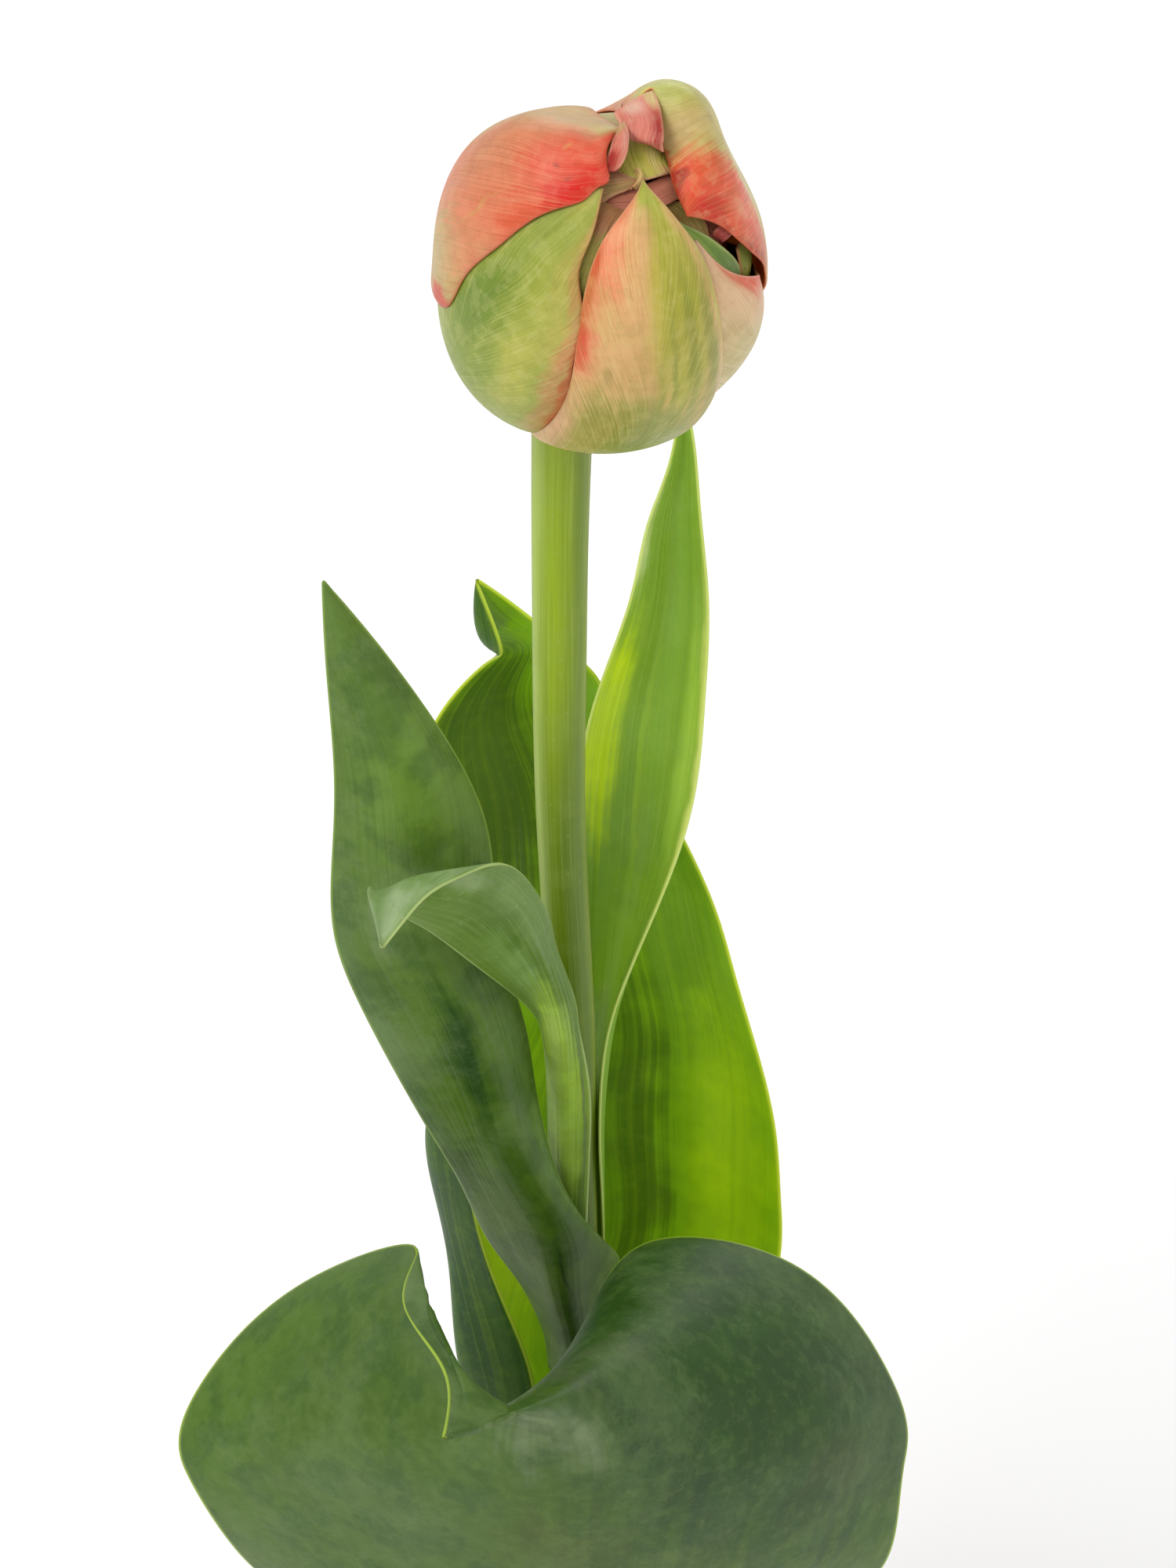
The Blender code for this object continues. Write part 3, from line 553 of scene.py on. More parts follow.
@dataclass(frozen=True)
class Wash:
    """A soft patch of colour on a blade: its colour, its middle and reach, its turn and its edge."""

    red: float
    green: float
    blue: float
    u: float
    v: float
    across: float
    along: float
    turn: float = 0.0
    strength: float = 1.0
    streaky: float = 0.5
    core: float = 0.15

    def lay(self, bench: Bench, under: Wire | Colour, spot: Wire, streaks: Wire) -> Wire:
        """Lays the patch over a colour.

        Its cover is a soft step of the distance from its middle in units of its reach, and streaks
        push that distance in and out.

        Args:
            bench: where the finish is made.
            under: the colour so far.
            spot: the (u, v) place as a vector.
            streaks: streaks from 0 to 1.

        Returns:
            The colour with the patch on it.
        """
        values = {
            "Vector": spot,
            "Location": (self.u, self.v, 0.0),
            "Rotation": (0.0, 0.0, np.radians(self.turn)),
            "Scale": (self.across, self.along, 1.0),
        }
        local = bench.node("Mapping", {"vector_type": "TEXTURE"}, values)
        away = bench.node("VectorMath", {"operation": "LENGTH"}, {0: local}, "Value")
        cover = bench.step(away + (streaks - 0.5) * self.streaky, 1.0, self.core)
        return bench.mix(cover * self.strength, under, seen(self.red, self.green, self.blue))


@dataclass(frozen=True)
class Veins:
    """Fine lines of a blade: how many lie across it, how they fan out, and how strongly they show."""

    fine: float
    broad: float
    fan: float = 0.0
    bend: float = 1.2
    length: float = 2.5
    light: float = 0.16
    dark: float = 0.2
    relief: float = 0.06
    hatch: float = 0.0


@dataclass(frozen=True)
class BladeFinish:
    """The finish of one leaf or petal: its grounds, veins, margin line, washes, bloom and marks.

    Colours are (red, green, blue) as seen, 0 to 255. A fourth number is a coat's strength, and a row
    of `front_washes` or `back_washes` holds the numbers of one Wash.
    """

    name: str
    front: tuple[float, ...]
    back: tuple[float, ...]
    light_vein: tuple[float, ...]
    dark_vein: tuple[float, ...]
    rim: tuple[float, ...]
    veins: Veins
    rim_width: float = 0.5
    bloom: tuple[float, ...] = ()
    mottle: tuple[float, ...] = ()
    mottle_scale: float = 85.0
    fleck: tuple[float, ...] = ()
    grit: float = 0.1
    roughness: float = 0.45
    sheen: float = 0.3
    glow: float = 0.12
    front_washes: Rows = ()
    back_washes: Rows = ()

    def make(self) -> Material:
        """Puts the finish together.

        Broad streaks follow (2u - 1)(1 - fan v^bend), which is constant along curves that leave the
        foot together and run out to the margins. Fine lines do so too, or else, on a petal, they
        follow v - hatch |2u - 1|^0.5, constant along curves that leave the middle steeply and meet
        the margins aslant. Noise that is short across them and long along them gives streaks, and
        these tint the washes and raise the surface.

        Returns:
            The material.
        """
        bench = Bench(self.name)
        veins = self.veins
        u, v = bench.chart()
        place = bench.place()
        centred = 2.0 * u - 1.0
        line = centred * (1.0 - veins.fan * v**veins.bend)
        if veins.hatch:
            outward = bench.node("Math", {"operation": "ABSOLUTE"}, {0: centred})
            aslant = v - veins.hatch * outward**0.5
            fine_place = bench.vector(aslant * veins.fine, centred * veins.length)
        else:
            fine_place = bench.vector(line * veins.fine, v * veins.length)
        broad_place = bench.vector(line * veins.broad + 7.0, v * veins.length * 0.7)
        fine = bench.noise(fine_place, 0.5, 2.0, 0.6)
        broad = bench.noise(broad_place, 0.5, 3.0, 0.6)
        drift, lean = (bench.noise(place, scale, 2.0) for scale in (DRIFT_SCALE, LEAN_SCALE))
        spot = bench.vector(u + (drift - 0.5) * DRIFT, v + (lean - 0.5) * DRIFT)
        streaks = broad * 0.4 + fine * 0.6
        front, back = (
            self.washed(bench, ground, washes, spot, streaks)
            for ground, washes in ((self.front, self.front_washes), (self.back, self.back_washes))
        )
        mottling = bench.noise(place, self.mottle_scale, 4.0, 0.55)
        clouds = bench.noise(place, CLOUD_SCALE, 5.0, 0.66)
        grain = bench.noise(place, GRAIN_SCALE, 2.0)
        speckle = bench.noise(place, SPECKLE_SCALE, 3.0, 0.6)
        light, dark = seen(*self.light_vein), seen(*self.dark_vein)
        coats = [(bench.step(bench.mark("side"), 0.3, 0.7), front)]
        if self.mottle:
            coats.append((bench.step(mottling, 0.35, 0.85) * self.mottle[3], seen(*self.mottle[:3])))
        if self.bloom:
            dusty = bench.step(clouds * 0.85 + grain * 0.15, 0.35, 0.95)
            coats.append((dusty * self.bloom[3], seen(*self.bloom[:3])))
        coats += [
            (bench.step(broad, 0.55, 1.0) * (BROAD_SHARE * veins.light), light),
            (bench.step(broad, 0.45, 0.0) * (BROAD_SHARE * veins.dark), dark),
            (bench.step(fine, 0.5, 0.95) * veins.light, light),
            (bench.step(fine, 0.5, 0.05) * veins.dark, dark),
            (bench.step(speckle, 0.52, 0.85) * self.grit, light),
            (bench.step(speckle, 0.48, 0.15) * self.grit, dark),
        ]
        if self.fleck:
            sparse = bench.step(bench.noise(place, FLECK_SPREAD_SCALE, 2.0), 0.55, 0.8)
            dots = bench.step(bench.cells(place, FLECK_SCALE), 0.22, 0.1)
            coats.append((dots * sparse * self.fleck[3], seen(*self.fleck[:3])))
        edge = bench.step(bench.mark("edge"), self.rim_width, 0.0)
        coats.append((edge * self.rim[3], seen(*self.rim[:3])))
        normal = bench.bump(broad, veins.relief * BROAD_RELIEF, 0.6)
        normal = bench.bump(mottling, 0.12, 0.5, normal)
        normal = bench.bump(fine, veins.relief, 0.7, normal)
        normal = bench.bump(grain, 0.012, 0.6, normal)
        return bench.finish(
            bench.coats(back, *coats),
            (broad - 0.5) * 0.06 + (clouds - 0.5) * 0.14 + self.roughness,
            normal,
            Subsurface_Weight=self.glow,
            Subsurface_Radius=(0.003, 0.003, 0.001),
            Subsurface_Scale=1.0,
            Specular_IOR_Level=self.sheen,
        )

    def washed(
        self, bench: Bench, ground: tuple[float, ...], washes: Rows, spot: Wire, streaks: Wire
    ) -> Wire | Colour:
        """A ground colour with its washes laid on it, one over another."""
        colour: Wire | Colour = seen(*ground)
        for row in washes:
            colour = Wash(*row).lay(bench, colour, spot, streaks)
        return colour


# ---------------------------------------------------------------- the flower


@dataclass(frozen=True)
class BudShape:
    """The egg shape that the petals close on: its middle, the line it points along, and its size."""

    middle: tuple[float, float, float] = (2.0, -34.0, 398.0)
    heading: tuple[float, float, float] = (9.9, -26.5, 48.3)
    length: float = 58.0
    radius: float = 23.0
    fullness: float = 0.8

    def axis(self) -> Array:
        """The unit vector from the flower's foot to its apex."""
        return unit(np.array(self.heading))

    def foot(self) -> Array:
        """The point where the flower sits on its stem."""
        return np.array(self.middle) - self.axis() * 0.5 * self.length

    def place(self, height: Array, turn: Array, lift: Array) -> Array:
        """Points near the egg shape.

        With a = pi * height, the egg's point lies -cos(a) half lengths along the axis and radius *
        sin(a)^fullness from it. The lift moves it along the normal of that profile.

        Args:
            height: 0 at the foot to 1 at the apex.
            turn: degrees round the axis, -90 at the front and 0 on the right.
            lift: how far the point stands off the egg.

        Returns:
            The points, with a last axis of 3.
        """
        axis = self.axis()
        side, back = square_to(axis)
        angle = np.pi * height
        along = -0.5 * self.length * np.cos(angle)
        radius = self.radius * np.sin(angle) ** self.fullness
        slope = 0.5 * self.length * np.sin(angle)
        climb = self.radius * self.fullness * np.cos(angle) / np.sin(angle) ** (1 - self.fullness)
        steep = np.hypot(slope, climb)
        radius = radius + lift * slope / steep
        along = along - lift * climb / steep
        around = np.radians(turn)
        sideways = side * np.cos(around)[..., None] + back * np.sin(around)[..., None]
        return np.array(self.middle) + axis * along[..., None] + sideways * radius[..., None]

    def station_grid(self, stations: Array, along: int, across: int) -> Array:
        """A petal's grid from stations.

        Each station is a height, the turns of the left and right margins, and lifts at even steps
        between them. Natural splines over the height carry all of them along the petal, turns run
        evenly across it, and the lifts are natural splines across it.

        Args:
            stations: from foot to tip, (S, 3 + L).
            along: rows to read.
            across: points to read in each row.

        Returns:
            The grid, (along, across, 3).
        """
        heights = stations[:, 0]
        read = natural_spline(heights, stations, np.linspace(heights[0], heights[-1], along))
        share = np.linspace(0.0, 1.0, across)
        turn = read[:, 1:2] + (read[:, 2:3] - read[:, 1:2]) * share
        lifts = read[:, 3:]
        knots = np.broadcast_to(np.arange(lifts.shape[1], dtype=float), lifts.shape)
        reads = np.broadcast_to(share * (lifts.shape[1] - 1), (along, across))
        lift = natural_spline(knots, lifts[..., None], reads)[..., 0]
        height = np.broadcast_to(read[:, :1], turn.shape)
        return self.place(height, turn, lift)

    def net_grid(self, net: Array, along: int, across: int) -> Array:
        """A petal's grid from a net whose rows hold their points' heights, turns and lifts."""
        return net_surface(self.place(net[:, 0], net[:, 1], net[:, 2]), along, across)


@dataclass(frozen=True)
class Petal:
    """One petal: its node, its finish, and either stations or a net, from foot to tip."""

    node: str
    slot: str
    finish: BladeFinish
    stations: Rows = ()
    net: tuple[Rows, ...] = ()
    rows: int = 110
    columns: int = 56
    tuck: tuple[float, float] = (0.0, 0.0)
    tuck_width: float = 2.4
    middle: float = 0.66
    margin: float = 0.34

    def grid(self, bud: BudShape) -> Array:
        """The petal's grid of points on the bud.

        Near each margin the points sink along the normal by `tuck` times the square of how far they
        have come through the last `tuck_width`.

        Args:
            bud: the shape that the petals close on.

        Returns:
            The grid, (rows, columns, 3).
        """
        if self.stations:
            grid = bud.station_grid(np.array(self.stations), self.rows, self.columns)
        else:
            grid = bud.net_grid(np.array(self.net), self.rows, self.columns)
        length = chord_knots(grid)
        left = np.clip(1.0 - length / self.tuck_width, 0.0, 1.0) ** 2
        right = np.clip(1.0 - (length[:, -1:] - length) / self.tuck_width, 0.0, 1.0) ** 2
        sink = np.maximum(self.tuck[0] * left, self.tuck[1] * right)
        return grid - surface_normals(grid) * sink[..., None]

    def solids(self) -> tuple[str, ...]:
        """The solids that the petal stands for."""
        return (self.node,)

    def build(self, bud: BudShape) -> Thing:
        """Builds and dresses the petal."""
        shell = blade_shell(self.grid(bud), self.middle, self.margin)
        return shell.make(self.node + "_skin", self.finish.make(), self.solids(), self.slot)


@dataclass(frozen=True)
class Fold(Petal):
    """A small fold of the flower: thinner than a petal, and with no solid of its own."""

    middle: float = 0.5
    margin: float = 0.3

    def solids(self) -> tuple[str, ...]:
        """The fold stands for no solid."""
        return ()


# ---------------------------------------------------------------- the stem and the leaves


@dataclass(frozen=True)
class FlowerStem:
    """The stem: its path from the bulb's nose to the flower, and its thickness."""

    path: tuple[tuple[float, float, float], ...] = (
        (-1.0, 0.0, 88.3),
        (-1.0, -0.5, 130.0),
        (-1.2, -1.0, 170.0),
        (-1.6, -2.2, 207.0),
        (-2.0, -4.0, 235.0),
        (-3.0, -6.0, 260.0),
        (-4.0, -9.5, 290.0),
        (-4.0, -13.0, 320.0),
        (-3.8, -16.5, 345.0),
        (-3.3, -20.0, 370.0),
    )
    low_radius: float = 3.4
    top_radius: float = 4.5
    dome: tuple[tuple[float, float], ...] = ((2.0, 0.93), (4.5, 0.86), (6.5, 0.66), (7.5, 0.25))
    rings: int = 320
    sides: int = 64
    ribs: Rows = ((3, 0.006, 2.2), (7, 0.004, -3.0))
    swell: tuple[float, float, float] = (0.006, 5.3, 0.6)

    def centre_line(self, count: int) -> Array:
        """The path made smooth, at even steps of its length."""
        points = np.array(self.path)
        knots = chord_knots(points)
        return natural_spline(knots, points, np.linspace(0.0, knots[-1], count))

    def radius(self, share: Array) -> Array:
        """The radius at a share of the path: it grows with the share's square towards the flower."""
        return self.low_radius + (self.top_radius - self.low_radius) * share**2

    def at(self, height: float) -> tuple[Array, float]:
        """The stem's centre (x, y) and its radius at a height."""
        line = self.centre_line(60)
        centre = np.array([np.interp(height, line[:, 2], line[:, k]) for k in range(2)])
        share = np.interp(height, line[:, 2], np.linspace(0.0, 1.0, len(line)))
        return centre, float(self.radius(share))

    def surface(self, bud: BudShape) -> Array:
        """Rings of points round the stem and up the low dome that carries the petals.

        Each ring lies square to the path. Each of `ribs` is a count of shallow ribs round the stem,
        their height as a share of the radius and how far they turn as they rise, and `swell` is the
        share, the count and the start of low waves up it.

        Args:
            bud: the flower that the dome points along.

        Returns:
            The rings, (rings, sides, 3).
        """
        line = self.centre_line(self.rings)
        rise = np.array(self.dome)
        top = bud.foot() + bud.axis() * rise[:, :1]
        centres = np.concatenate([line, top])
        shares = np.linspace(0.0, 1.0, self.rings)
        radii = np.concatenate([self.radius(shares), self.top_radius * rise[:, 1]])
        onward = np.gradient(centres, axis=0)
        onward[0] = (0.0, 0.0, 1.0)
        side, back = square_to(unit(onward))
        around = even_turns(self.sides)[None, :]
        climb = np.linspace(0.0, 1.0, len(centres))[:, None]
        ribs = sum(high * np.sin(count * around + lean * climb) for count, high, lean in self.ribs)
        share, waves, start = self.swell
        swell = share * np.sin(2 * np.pi * waves * climb + start)
        reach = radii[:, None] * (1.0 + ribs + swell)
        ring = side[:, None] * np.cos(around)[..., None] + back[:, None] * np.sin(around)[..., None]
        return centres[:, None] + ring * reach[..., None]

    def finish(self) -> Material:
        """Olive green skin: a painted highlight down its lit left side, a yellow streak, and grey-violet at the
        right.
        """
        bench = Bench("stem_skin")
        turn, rise = bench.chart()
        place = bench.place()
        drift = bench.noise(place, 60.0, 2.0)
        around = turn + (drift - 0.5) * 0.02
        fibre = bench.noise(bench.vector(turn * 150.0, rise * 16.0), 0.5, 3.0)
        broad = bench.noise(bench.vector(turn * 30.0, rise * 7.0), 0.5, 3.0)
        clouds = bench.noise(place, 120.0, 4.0)
        bands_and_highlight = (
            # the first band is a painted highlight where light falls on the stem's left side
            (0.58, 0.12, 0.7, seen(176, 198, 92)),
            (0.72, 0.08, 0.6, seen(156, 180, 48)),
            (0.88, 0.09, 0.75, seen(108, 132, 34)),
            (0.0, 0.09, 0.5, seen(124, 112, 104)),
            (1.0, 0.09, 0.5, seen(124, 112, 104)),
        )
        shade = bench.step(rise, 0.84, 0.66) * bench.near(turn, 0.78, 0.26)
        colour = bench.coats(
            bench.mix(broad, seen(134, 158, 36), seen(146, 170, 50)),
            *((bench.near(around, middle, reach) * share, over) for middle, reach, share, over in bands_and_highlight),
            (bench.step(rise, 0.88, 1.0) * 0.4, seen(120, 128, 70)),
            (shade * 0.75, seen(86, 110, 14)),
            (bench.step(rise, 0.30, 0.0) * 0.7, seen(176, 190, 128)),
            (bench.step(clouds, 0.5, 1.0) * 0.15, seen(152, 172, 90)),
            (bench.step(fibre, 0.5, 0.1) * 0.14, seen(84, 108, 44)),
            (bench.step(fibre, 0.6, 0.95) * 0.1, seen(186, 198, 128)),
            (bench.step(bench.cells(place, 420.0), 0.16, 0.08) * 0.12, seen(180, 188, 130)),
        )
        normal = bench.bump(broad, 0.12, 0.5)
        normal = bench.bump(fibre, 0.05, 0.6, normal)
        rough = (clouds - 0.5) * 0.1 + 0.42
        return bench.finish(
            colour, rough, normal, Subsurface_Weight=0.1, Subsurface_Scale=0.001, Specular_IOR_Level=0.3
        )

    def build(self, bud: BudShape) -> Thing:
        """Builds and dresses the stem."""
        return tube(self.surface(bud)).make("stem_skin", self.finish(), ("stem",), "stem")


@dataclass(frozen=True)
class Clasp:
    """A row of a leaf's net that hugs the stem at one height, from one angle round it to another."""

    height: float
    start: float
    end: float
    count: int
    gap: float = 0.6
    thickness: float = 0.8

    def row(self, stem: FlowerStem) -> Array:
        """The row's points: the stem's radius, the gap and half the blade's thickness from its centre."""
        centre, radius = stem.at(self.height)
        reach = radius + self.gap + 0.5 * self.thickness
        angles = np.radians(np.linspace(self.start, self.end, self.count))
        level = np.full(self.count, self.height)
        return np.stack([centre[0] + reach * np.cos(angles), centre[1] + reach * np.sin(angles), level], -1)


@dataclass(frozen=True)
class Leaf:
    """One leaf: its node, its finish and its net of rows from foot to tip."""

    node: str
    slot: str
    finish: BladeFinish
    rows: tuple[Clasp | tuple[tuple[float, float, float], ...], ...]
    along: int = 200
    across: int = 72
    middle: float = 0.78
    margin: float = 0.42
    wave: float = 0.0
    seed: int = 1

    def grid(self, stem: FlowerStem) -> Array:
        """The leaf's grid.

        The net's rows are made smooth both ways. Low ripples stand off the surface along its normal,
        and shallow channels lie between the veins, ten across the leaf, deepest in its middle.

        Args:
            stem: the stem that its lowest rows clasp.

        Returns:
            The grid, (along, across, 3).
        """
        rows = [row.row(stem) if isinstance(row, Clasp) else np.array(row, float) for row in self.rows]
        grid = net_surface(np.stack(rows), self.along, self.across)
        normal = surface_normals(grid)
        waves = ripple(grid.shape[:2], np.array(LEAF_WAVES), self.seed)
        u = np.linspace(0.0, 1.0, self.across)[None, :]
        v = np.linspace(0.0, 1.0, self.along)[:, None]
        clear = np.sin(np.pi * np.clip((v - CLEAR_FROM) / CLEAR_OVER, 0.0, 1.0))
        channels = CHANNEL_DEPTH * np.sin(2 * np.pi * CHANNELS * u) * np.sin(np.pi * u)
        return grid + normal * ((self.wave * waves + channels) * clear)[..., None]

    def build(self, stem: FlowerStem) -> Thing:
        """Builds and dresses the leaf."""
        shell = blade_shell(self.grid(stem), self.middle, self.margin)
        return shell.make(self.node + "_skin", self.finish.make(), (self.node,), self.slot)


# ---------------------------------------------------------------- nets of the leaves and the petals

# The low broad leaf: it stands out to the front, and its tip is bent over towards the left.
FRONT_LEAF = (
    Clasp(89.5, 180, 360, 5),
    ((-22, -12, 108), (-12, -19, 107), (-1, -21, 106), (10, -18, 107), (19, -11, 108)),
    ((-43, -29, 130), (-22, -40, 134), (-1, -42, 134), (19, -38, 133), (39, -26, 129)),
    ((-57, -40, 153), (-29, -55, 162), (-2, -58, 163), (25, -53, 161), (51, -36, 150)),
    ((-66, -42, 176), (-34, -60, 190), (-2, -67, 191), (28, -58, 187), (54, -34, 171)),
    ((-63, -34, 190), (-33, -58, 206), (-3, -71, 209), (27, -52, 204), (50, -26, 186)),
    ((-46, -28, 206), (-31, -50, 216), (-7, -74, 218), (18, -44, 212), (34, -20, 203)),
    ((-28, -34, 219), (-25, -54, 222), (-11, -78, 224), (5, -52, 216), (13, -22, 210)),
    ((-29, -50, 221), (-21, -66, 224), (-15, -84, 228), (-5, -66, 219), (2, -34, 208)),
    ((-22, -70, 225), (-19, -79, 227), (-17, -90, 231), (-13, -81, 226), (-7, -60, 212)),
    ((-21.2, -93, 233), (-21.1, -93.5, 233), (-21, -94, 233.5), (-20.8, -93.5, 233), (-20.6, -93, 233)),
)
# The tall leaf on the left: it wraps the stem's front and leans out to a narrow tip.
LEFT_LEAF = (
    ((-6.6, -0.5, 162), (-1.2, -6.8, 163), (4.8, 0, 162)),
    ((-7.5, 1, 169), (-2, -8.5, 176), (4.9, 1, 171)),
    ((-11, 0, 180), (-4, -11, 188), (5.0, 1.5, 181)),
    ((-17, -4, 195), (-7, -14, 206), (4.7, -2.8, 191)),
    ((-21, -8, 210), (-12, -15, 221), (-3, -10, 209)),
    ((-26, -11, 224), (-15, -15, 236), (-8, -6.5, 226)),
    ((-36, -14, 252), (-23, -18, 258), (-10.5, -8, 246)),
    ((-40, -15, 268), (-27, -19, 274), (-14, -11, 266)),
    ((-39, -15, 297), (-30, -18.5, 303), (-18, -13, 296)),
    ((-39.6, -14, 318), (-35, -16, 320), (-30, -13, 319)),
    ((-39.8, -13, 333), (-39.6, -13, 333.3), (-39.4, -13, 333)),
)
# The small upper leaf: it rises in front of the stem and its tip is folded over to the left.
CURLED_LEAF = (
    Clasp(188, 185, 285, 3),
    Clasp(203, 188, 292, 3),
    Clasp(218, 190, 300, 3),
    Clasp(232, 194, 300, 3),
    ((-7, -9, 242), (-4, -11, 243), (-1, -9, 243)),
    ((-10, -15, 254), (-7, -18, 261), (-2, -13, 254)),
    ((-18, -25, 270), (-12, -26, 276), (-5, -17, 268)),
    ((-23, -29, 278), (-17, -32, 287), (-7, -21, 279)),
    ((-26, -31, 282), (-20.5, -36, 293), (-12, -28, 291)),
    ((-30, -34, 288), (-27, -39, 296), (-19, -38, 296)),
    ((-33, -37, 293), (-30, -42, 294), (-24, -43, 296)),
    ((-32, -41, 291), (-29.5, -45, 293), (-27, -46, 294)),
    ((-30.7, -49, 291), (-30.5, -49.1, 291), (-30.3, -49, 291)),
)
# The tall leaf on the right: its foot lies along the stem, and its tip stands behind the flower.
RIGHT_LEAF = (
    Clasp(190, 82, -8, 3),
    Clasp(200, 80, -16, 3),
    Clasp(209, 78, -25, 3),
    Clasp(218, 76, -30, 3),
    ((0, 5, 228), (3.4, 1.5, 231), (3.2, -4, 236)),
    ((-2, 9, 240), (4, 8, 242), (7, -2, 250)),
    ((-2, 12, 266), (7, 14, 266), (16, 4, 274)),
    ((1, 14, 291), (11, 18, 290), (19, 10, 295)),
    ((7, 16, 311), (14, 20, 309), (19.5, 14, 312)),
    ((10, 18, 325), (14, 20, 325), (18, 16, 328)),
    ((13, 18, 335), (15, 19, 336), (17, 17, 339)),
    ((14.8, 18, 348), (15, 18, 348.3), (15.2, 18, 348)),
)
# The large leaf behind the stem: hollow to the front, with its left margin rolled forward low down.
BACK_LEAF = (
    Clasp(102, 175, 5, 5),
    ((-14, 1, 127), (-8, 9, 126), (0, 13, 124), (8, 10, 126), (15, 3, 128)),
    ((-9, -2, 155), (-21, 6, 150), (0, 17, 150), (14, 14, 148), (27, 5, 150)),
    ((-15, 4, 175), (-23.5, 10, 174), (2, 21, 172), (20, 19, 173), (34, 10, 177)),
    ((-19, 6.5, 190), (-25.5, 12.5, 188), (2.5, 22.5, 187), (20.5, 20.5, 189), (33.8, 10.5, 191)),
    ((-21.5, 8, 207), (-27, 13.5, 204), (3, 24, 203), (20, 22, 205), (32.5, 11, 206)),
    ((-30, 17, 234), (-17, 23, 236), (0, 27, 238), (14, 23, 240), (25, 14, 238)),
    ((-28, 19, 266), (-16, 24, 267), (-4, 27, 268), (8, 24, 266), (16, 17, 264)),
    ((-23, 20, 288), (-16, 23, 289), (-9, 24, 290), (-3, 23, 291), (3, 20, 291)),
    ((-15.3, 17, 299), (-12.5, 19, 299.5), (-8.5, 20, 300), (-4.5, 19.5, 299), (-1, 19, 298)),
    ((-13.4, 13.5, 303), (-16, 16.5, 303), (-13.3, 19, 304.5), (-10, 19, 305), (-8, 18.5, 305.5)),
    ((-17.4, 16, 315), (-17.3, 16, 315), (-17.2, 16, 315.1), (-17.1, 16, 315), (-17, 16, 315)),
)

# Petal stations, from foot to tip: height, left turn, right turn, then lifts from left margin to right
OUTER_LEFT_PETAL = (
    (0.05, 125, 200, -0.1, -0.1, -0.1, -0.1, -0.3),
    (0.15, 122, 188, 0.0, 0.1, 0.2, 0.1, -0.3),
    (0.28, 118, 174, -0.3, 0.1, 0.2, 0.1, -0.4),
    (0.38, 115, 178, -0.5, -0.1, 0.1, 0.0, -0.3),
    (0.46, 113, 197, -0.9, -0.2, 0.3, -0.2, 0.1),
    (0.59, 112, 204, -2.0, -0.1, 0.9, 0.5, 0.2),
    (0.71, 112, 209.5, -3.6, -1.5, 1.1, 0.9, 0.3),
    (0.79, 112, 213, -4.0, -1.7, 1.5, 1.1, 0.4),
    (0.85, 113, 221, -4.3, -2.0, 1.5, 1.1, 0.4),
    (0.885, 113, 227, -4.0, -1.7, 1.3, 0.9, 0.3),
    (0.92, 113, 229, -3.2, -1.3, 0.9, 0.7, 0.2),
    (0.953, 114, 213, -2.0, -0.6, 0.4, 0.4, 0.0),
    (0.969, 118, 160, -0.8, -0.1, 0.4, 0.3, 0.1),
)
INNER_LEFT_PETAL = (
    (0.052, 165, 252, -1.3, -1.2, -1.2, -1.3),
    (0.15, 160, 254, -1.3, -0.9, -0.8, -1.5),
    (0.28, 160, 254, -1.2, -0.6, -0.4, -1.2),
    (0.38, 163, 255.2, -1.3, -0.7, -0.4, -0.9),
    (0.50, 170, 257.8, -1.7, -0.9, -0.5, -0.8),
    (0.60, 178, 256, -1.7, -0.9, -0.5, -0.8),
    (0.70, 190, 252.8, -1.7, -0.9, -0.4, -0.8),
    (0.757, 198, 246, -1.6, -0.8, -0.4, -0.8),
    (0.80, 204, 244.6, -1.6, -0.8, -0.4, -0.7),
    (0.85, 212, 243, -1.5, -0.8, -0.5, -0.7),
    (0.89, 222, 237.5, -1.0, -0.7, -0.6, -0.5),
    (0.92, 229.0, 230.0, -0.5, -0.5, -0.5, -0.5),
)
OUTER_FRONT_PETAL = (
    (0.05, -115, -35, -0.1, -0.1, -0.1, -0.1),
    (0.15, -118, -38, -0.5, -0.3, 0.0, 0.6),
    (0.28, -110.5, -42, -0.6, 0.0, 0.6, 1.6),
    (0.38, -105.3, -43, -0.5, 0.5, 1.0, 1.3),
    (0.50, -102.2, -44, -0.7, 0.5, 0.9, 0.6),
    (0.60, -103.7, -46, -0.7, 0.4, 0.7, 0.2),
    (0.70, -107.2, -48, -0.7, 0.3, 0.6, 0.0),
    (0.78, -109.4, -50, -0.7, 0.2, 0.4, 0.0),
    (0.84, -108.2, -54, -0.6, 0.1, 0.2, 0.0),
    (0.88, -104.0, -59, -0.4, 0.1, 0.1, 0.0),
    (0.92, -95.6, -67, -0.2, 0.0, 0.0, 0.0),
    (0.957, -83.0, -82.0, 0.0, 0.0, 0.0, 0.0),
)
INNER_RIGHT_PETAL = (
    (0.052, -55, 25, -1.3, -1.3, -1.3, -1.3, -1.3),
    (0.15, -58, 28, -1.4, -1.0, -0.9, -1.2, -1.6),
    (0.28, -60, 28, -1.4, -0.3, 0.7, -0.6, -1.9),
    (0.38, -60, 27, -1.5, -0.5, 0.8, -0.6, -2.4),
    (0.46, -60, 22, -1.5, -0.5, 0.7, -0.7, -2.6),
    (0.53, -60, 6, -1.5, -0.9, 0.5, -0.3, -2.3),
    (0.58, -59, -8, -1.6, -1.1, 0.3, 0.0, -1.7),
    (0.63, -58, -18, -1.6, -1.0, -0.1, 0.1, -0.6),
    (0.70, -56, -33, -1.6, -1.1, -0.6, -0.4, -0.6),
    (0.76, -54, -43, -1.5, -1.1, -0.9, -0.8, -0.8),
    (0.82, -50, -49, -1.2, -1.1, -1.1, -1.1, -1.1),
)
